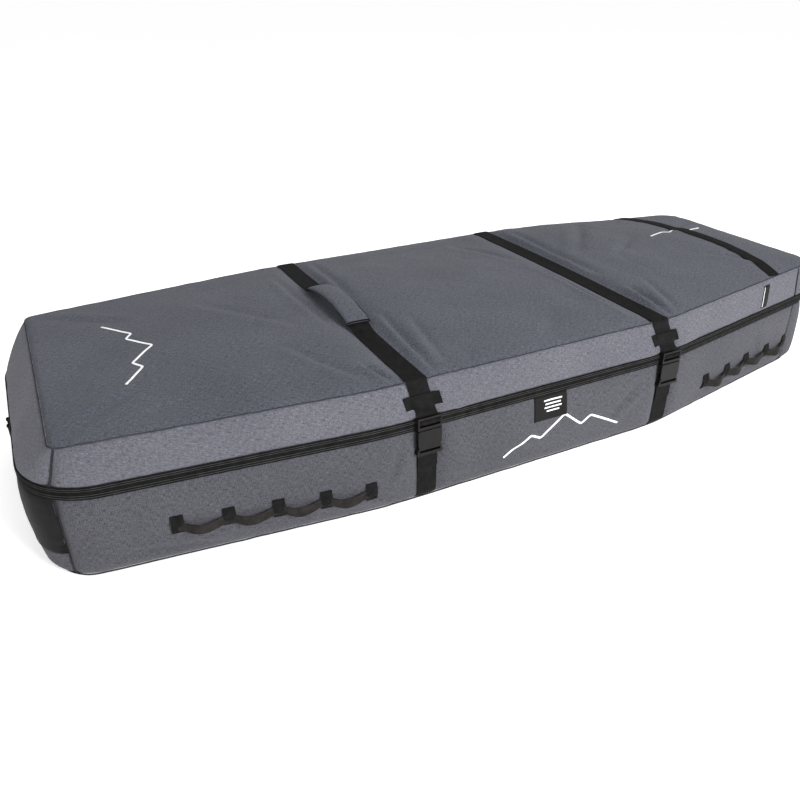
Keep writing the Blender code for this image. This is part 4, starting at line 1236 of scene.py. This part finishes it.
def make_nose_strap():
    low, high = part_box("nose_strap")
    half, middle = high.y, low.x + STRAP_WIDTH * 0.4
    stations = np.linspace(half - 0.002, -half + 0.002, 52)
    rows = drape_top(lambda y: middle + 0.030 * (1 - (y / half) ** 2), stations, STRAP_WIDTH * 0.8)
    rows = smoothed(rows, 2)
    strap = band("nose_strap_webbing", rows, row_normals(rows, (0, 0, 1)), WEBBING, 0.0016)
    finish_piece(strap, "lid", "webbing", "nose_strap")
    stitches = []
    for column in (1, 5):
        stitches += dashes(rows[:, column] + np.array([0, 0, 0.0018]), 0.0045, 0.0028, (0, 0, 1))
    finish_piece(stitch_object("nose_strap_stitching", stitches), "lid", "webbing")


FRONT_RIDGE = [
    (-0.070, 0.042), (-0.012, 0.074), (0.010, 0.062), (0.062, 0.100), (0.102, 0.068), (0.124, 0.082),
    (0.196, 0.044),
]
TAIL_RIDGE = [
    (-0.668, -0.135), (-0.632, -0.080), (-0.646, -0.058), (-0.602, -0.005), (-0.640, 0.042), (-0.627, 0.062),
    (-0.672, 0.125),
]
NOSE_RIDGE = [(0.590, 0.045), (0.640, 0.060), (0.655, 0.050), (0.690, 0.072), (0.720, 0.050), (0.770, 0.066)]


def patch(name, xs, zs, on, stand, finish, body, *nodes, steps=(20, 12)):
    """A flat sewn patch laid on the front of the bag, between two x and two z values."""
    rows = lay((on,), np.linspace(*zs, steps[1]), lambda z: np.linspace(*xs, steps[0]), stand)
    made = grid_object(name, rows, finish, min(0.0010, stand))
    keep_tree(name, made)
    finish_piece(made, body, "coated_cloth", *nodes)


def print_line(name, corners, width, body):
    """A printed line of a width, along corners on the lid's top (x, y) or on the base's front (x, z)."""
    corners = np.array(corners)
    along = lengths(corners)
    line = smoothed(sample(corners, along, np.arange(0, along[-1], 0.003)), 2)
    ahead = np.gradient(line, axis=0)
    ahead /= np.linalg.norm(ahead, axis=1)[:, None]
    side = np.stack([-ahead[:, 1], ahead[:, 0]], 1)
    rows = []
    for share in (-0.5, -0.17, 0.17, 0.5):
        places = line + side * share * width
        if body == "lid":
            rows.append([(x, y, top_z(x, y) + PRINT_STAND) for x, y in places])
        else:
            rows.append([(x, side_y(("base_front",), x, z) - PRINT_STAND, z) for x, z in places])
    finish_piece(grid_object(name, np.array(rows), PRINT, 0.0002), body, "heather_cloth")


def make_labels():
    low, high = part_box("care_label")
    zs = (low.z, high.z + 0.002)
    patch("care_tag", (low.x, high.x), zs, "base_front", 0.0016, BLACK_CLOTH, "base", "care_label")
    middle = (low.x + high.x) / 2 + 0.004
    for i, (z, half) in enumerate(((0.137, 0.020), (0.130, 0.017), (0.123, 0.019), (0.116, 0.014)), 1):
        xs, zs = (middle - half, middle + half), (z - 0.0014, z + 0.0014)
        patch(f"care_bar_{i}", xs, zs, "care_tag", PRINT_STAND, PRINT, "base", steps=(12, 3))
    low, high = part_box("size_label")
    xs, zs = (low.x, high.x), (low.z, high.z)
    patch("size_tag", xs, zs, "lid_front", 0.0012, BLACK_CLOTH, "lid", "size_label")
    xs, zs = (low.x + 0.0012, low.x + 0.0028), (low.z + 0.003, high.z - 0.003)
    patch("size_tag_line", xs, zs, "size_tag", PRINT_STAND, PRINT, "lid", steps=(3, 12))


def make_prints():
    """Plain ridge lines in white, which stand for the bag's printed marks."""
    print_line("front_ridge_print", FRONT_RIDGE, 0.0042, "base")
    print_line("tail_ridge_print", TAIL_RIDGE, 0.0045, "lid")
    print_line("nose_ridge_print", NOSE_RIDGE, 0.0050, "lid")


# --- Hard fittings ------------------------------------------------------------------------------


def fitting(node, body, finish, slot, width, segments=3):
    """A CAD solid's shape as a clean copy with rounded edges."""
    bm = bmesh.new()
    bm.from_mesh(frame["nodes"][node].data)
    bmesh.ops.remove_doubles(bm, verts=bm.verts, dist=1e-5)
    bmesh.ops.dissolve_limit(bm, angle_limit=math.radians(2), verts=bm.verts, edges=bm.edges)
    mesh = from_bmesh(f"{node}_moulding", bm)
    mesh.shade_smooth()
    made = place(mesh.name, mesh, finish)
    rounded = made.modifiers.new("edges", "BEVEL")
    rounded.width = width
    rounded.segments = segments
    rounded.limit_method = "ANGLE"
    rounded.angle_limit = math.radians(32)
    rounded.use_clamp_overlap = True
    made.modifiers.new("normals", "WEIGHTED_NORMAL").keep_sharp = True
    finish_piece(made, body, slot, node)


def make_fittings():
    for k in (1, 2):
        fitting(f"latch_{k}", "lid", PLASTIC, "black_plastic", 0.0012)
        for node, width in ((f"socket_{k}", 0.0014), (f"prong_{k}_left", 0.0006), (f"prong_{k}_right", 0.0006),
                            (f"zip_slider_{k}", 0.0004)):
            fitting(node, node, PLASTIC, "black_plastic", width)
        fitting(f"zip_pull_{k}", f"zip_pull_{k}", WEBBING, "webbing", 0.0004, 2)
    fitting("ring_tab", "base", WEBBING, "webbing", 0.0006, 2)
    fitting("d_ring", "d_ring", PLASTIC, "black_plastic", 0.0002, 1)


# --- Stage --------------------------------------------------------------------------------------


def make_stage():
    mesh = bpy.data.meshes.new("studio_floor")
    reach = 60.0
    corners = [(-reach, -reach, 0), (reach, -reach, 0), (reach, reach, 0), (-reach, reach, 0)]
    mesh.from_pydata(corners, [], [(0, 1, 2, 3)])
    finish, tree, shader = new_material("studio_floor")
    tinted(tree, shader, noise_node(tree, 0.6, detail=1), (1.0, 1.0, 1.0), (0.3, 0.975), (0.7, 0.99))
    shader.inputs["Roughness"].default_value = 0.9
    shader.inputs["Emission Color"].default_value = (1.0, 1.0, 1.0, 1.0)
    shader.inputs["Emission Strength"].default_value = 0.30
    floor = place("studio_floor", mesh, finish)
    floor.location.z = -0.0005
    world = bpy.data.worlds.new("studio")
    world.use_nodes = True
    light = world.node_tree.nodes["Background"]
    light.inputs["Color"].default_value = (1.0, 1.0, 1.0, 1.0)
    light.inputs["Strength"].default_value = 0.70
    bpy.context.scene.world = world
    bpy.context.scene.view_settings.view_transform = "Standard"
    lights = (
        ("key", (0.9, -3.5, 1.7), 190.0, 1.3),
        ("fill", (-2.8, -1.6, 2.0), 26.0, 2.0),
        ("top", (0.2, 0.8, 3.4), 22.0, 2.2),
    )
    for name, where, power, size in lights:
        data = bpy.data.lights.new(name, "AREA")
        data.energy = power
        data.size = size
        lamp = bpy.data.objects.new(name, data)
        lamp.location = where
        lamp.rotation_mode = "QUATERNION"
        lamp.rotation_quaternion = (Vector((0, 0, 0.1)) - Vector(where)).to_track_quat("-Z", "Y")
        bpy.context.scene.collection.objects.link(lamp)


def make_camera():
    data = bpy.data.cameras.new("camera")
    data.lens, data.sensor_width = 33.94, 36.0
    data.clip_start, data.clip_end = 0.05, 60.0
    camera = bpy.data.objects.new("camera", data)
    yaw, pitch, roll = 0.4619, 0.5094, -0.0101
    forward = Vector((math.sin(yaw) * math.cos(pitch), math.cos(yaw) * math.cos(pitch), -math.sin(pitch)))
    right = Vector((math.cos(yaw), -math.sin(yaw), 0))
    up = right.cross(forward)
    right, up = math.cos(roll) * right + math.sin(roll) * up, math.cos(roll) * up - math.sin(roll) * right
    turn = Matrix((right, up, -forward)).transposed().to_4x4()
    camera.matrix_world = Matrix.Translation((-0.752, -1.281, 0.8078)) @ turn
    bpy.context.scene.collection.objects.link(camera)
    bpy.context.scene.camera = camera


make_linings()
make_seams()
make_tail_panel()
make_zip()
make_hinge()
make_straps()
make_handle()
make_hand_loops("tail_loops")
make_hand_loops("nose_loops")
make_nose_strap()
make_labels()
make_prints()
make_fittings()
make_stage()
make_camera()
bpy.context.view_layer.update()
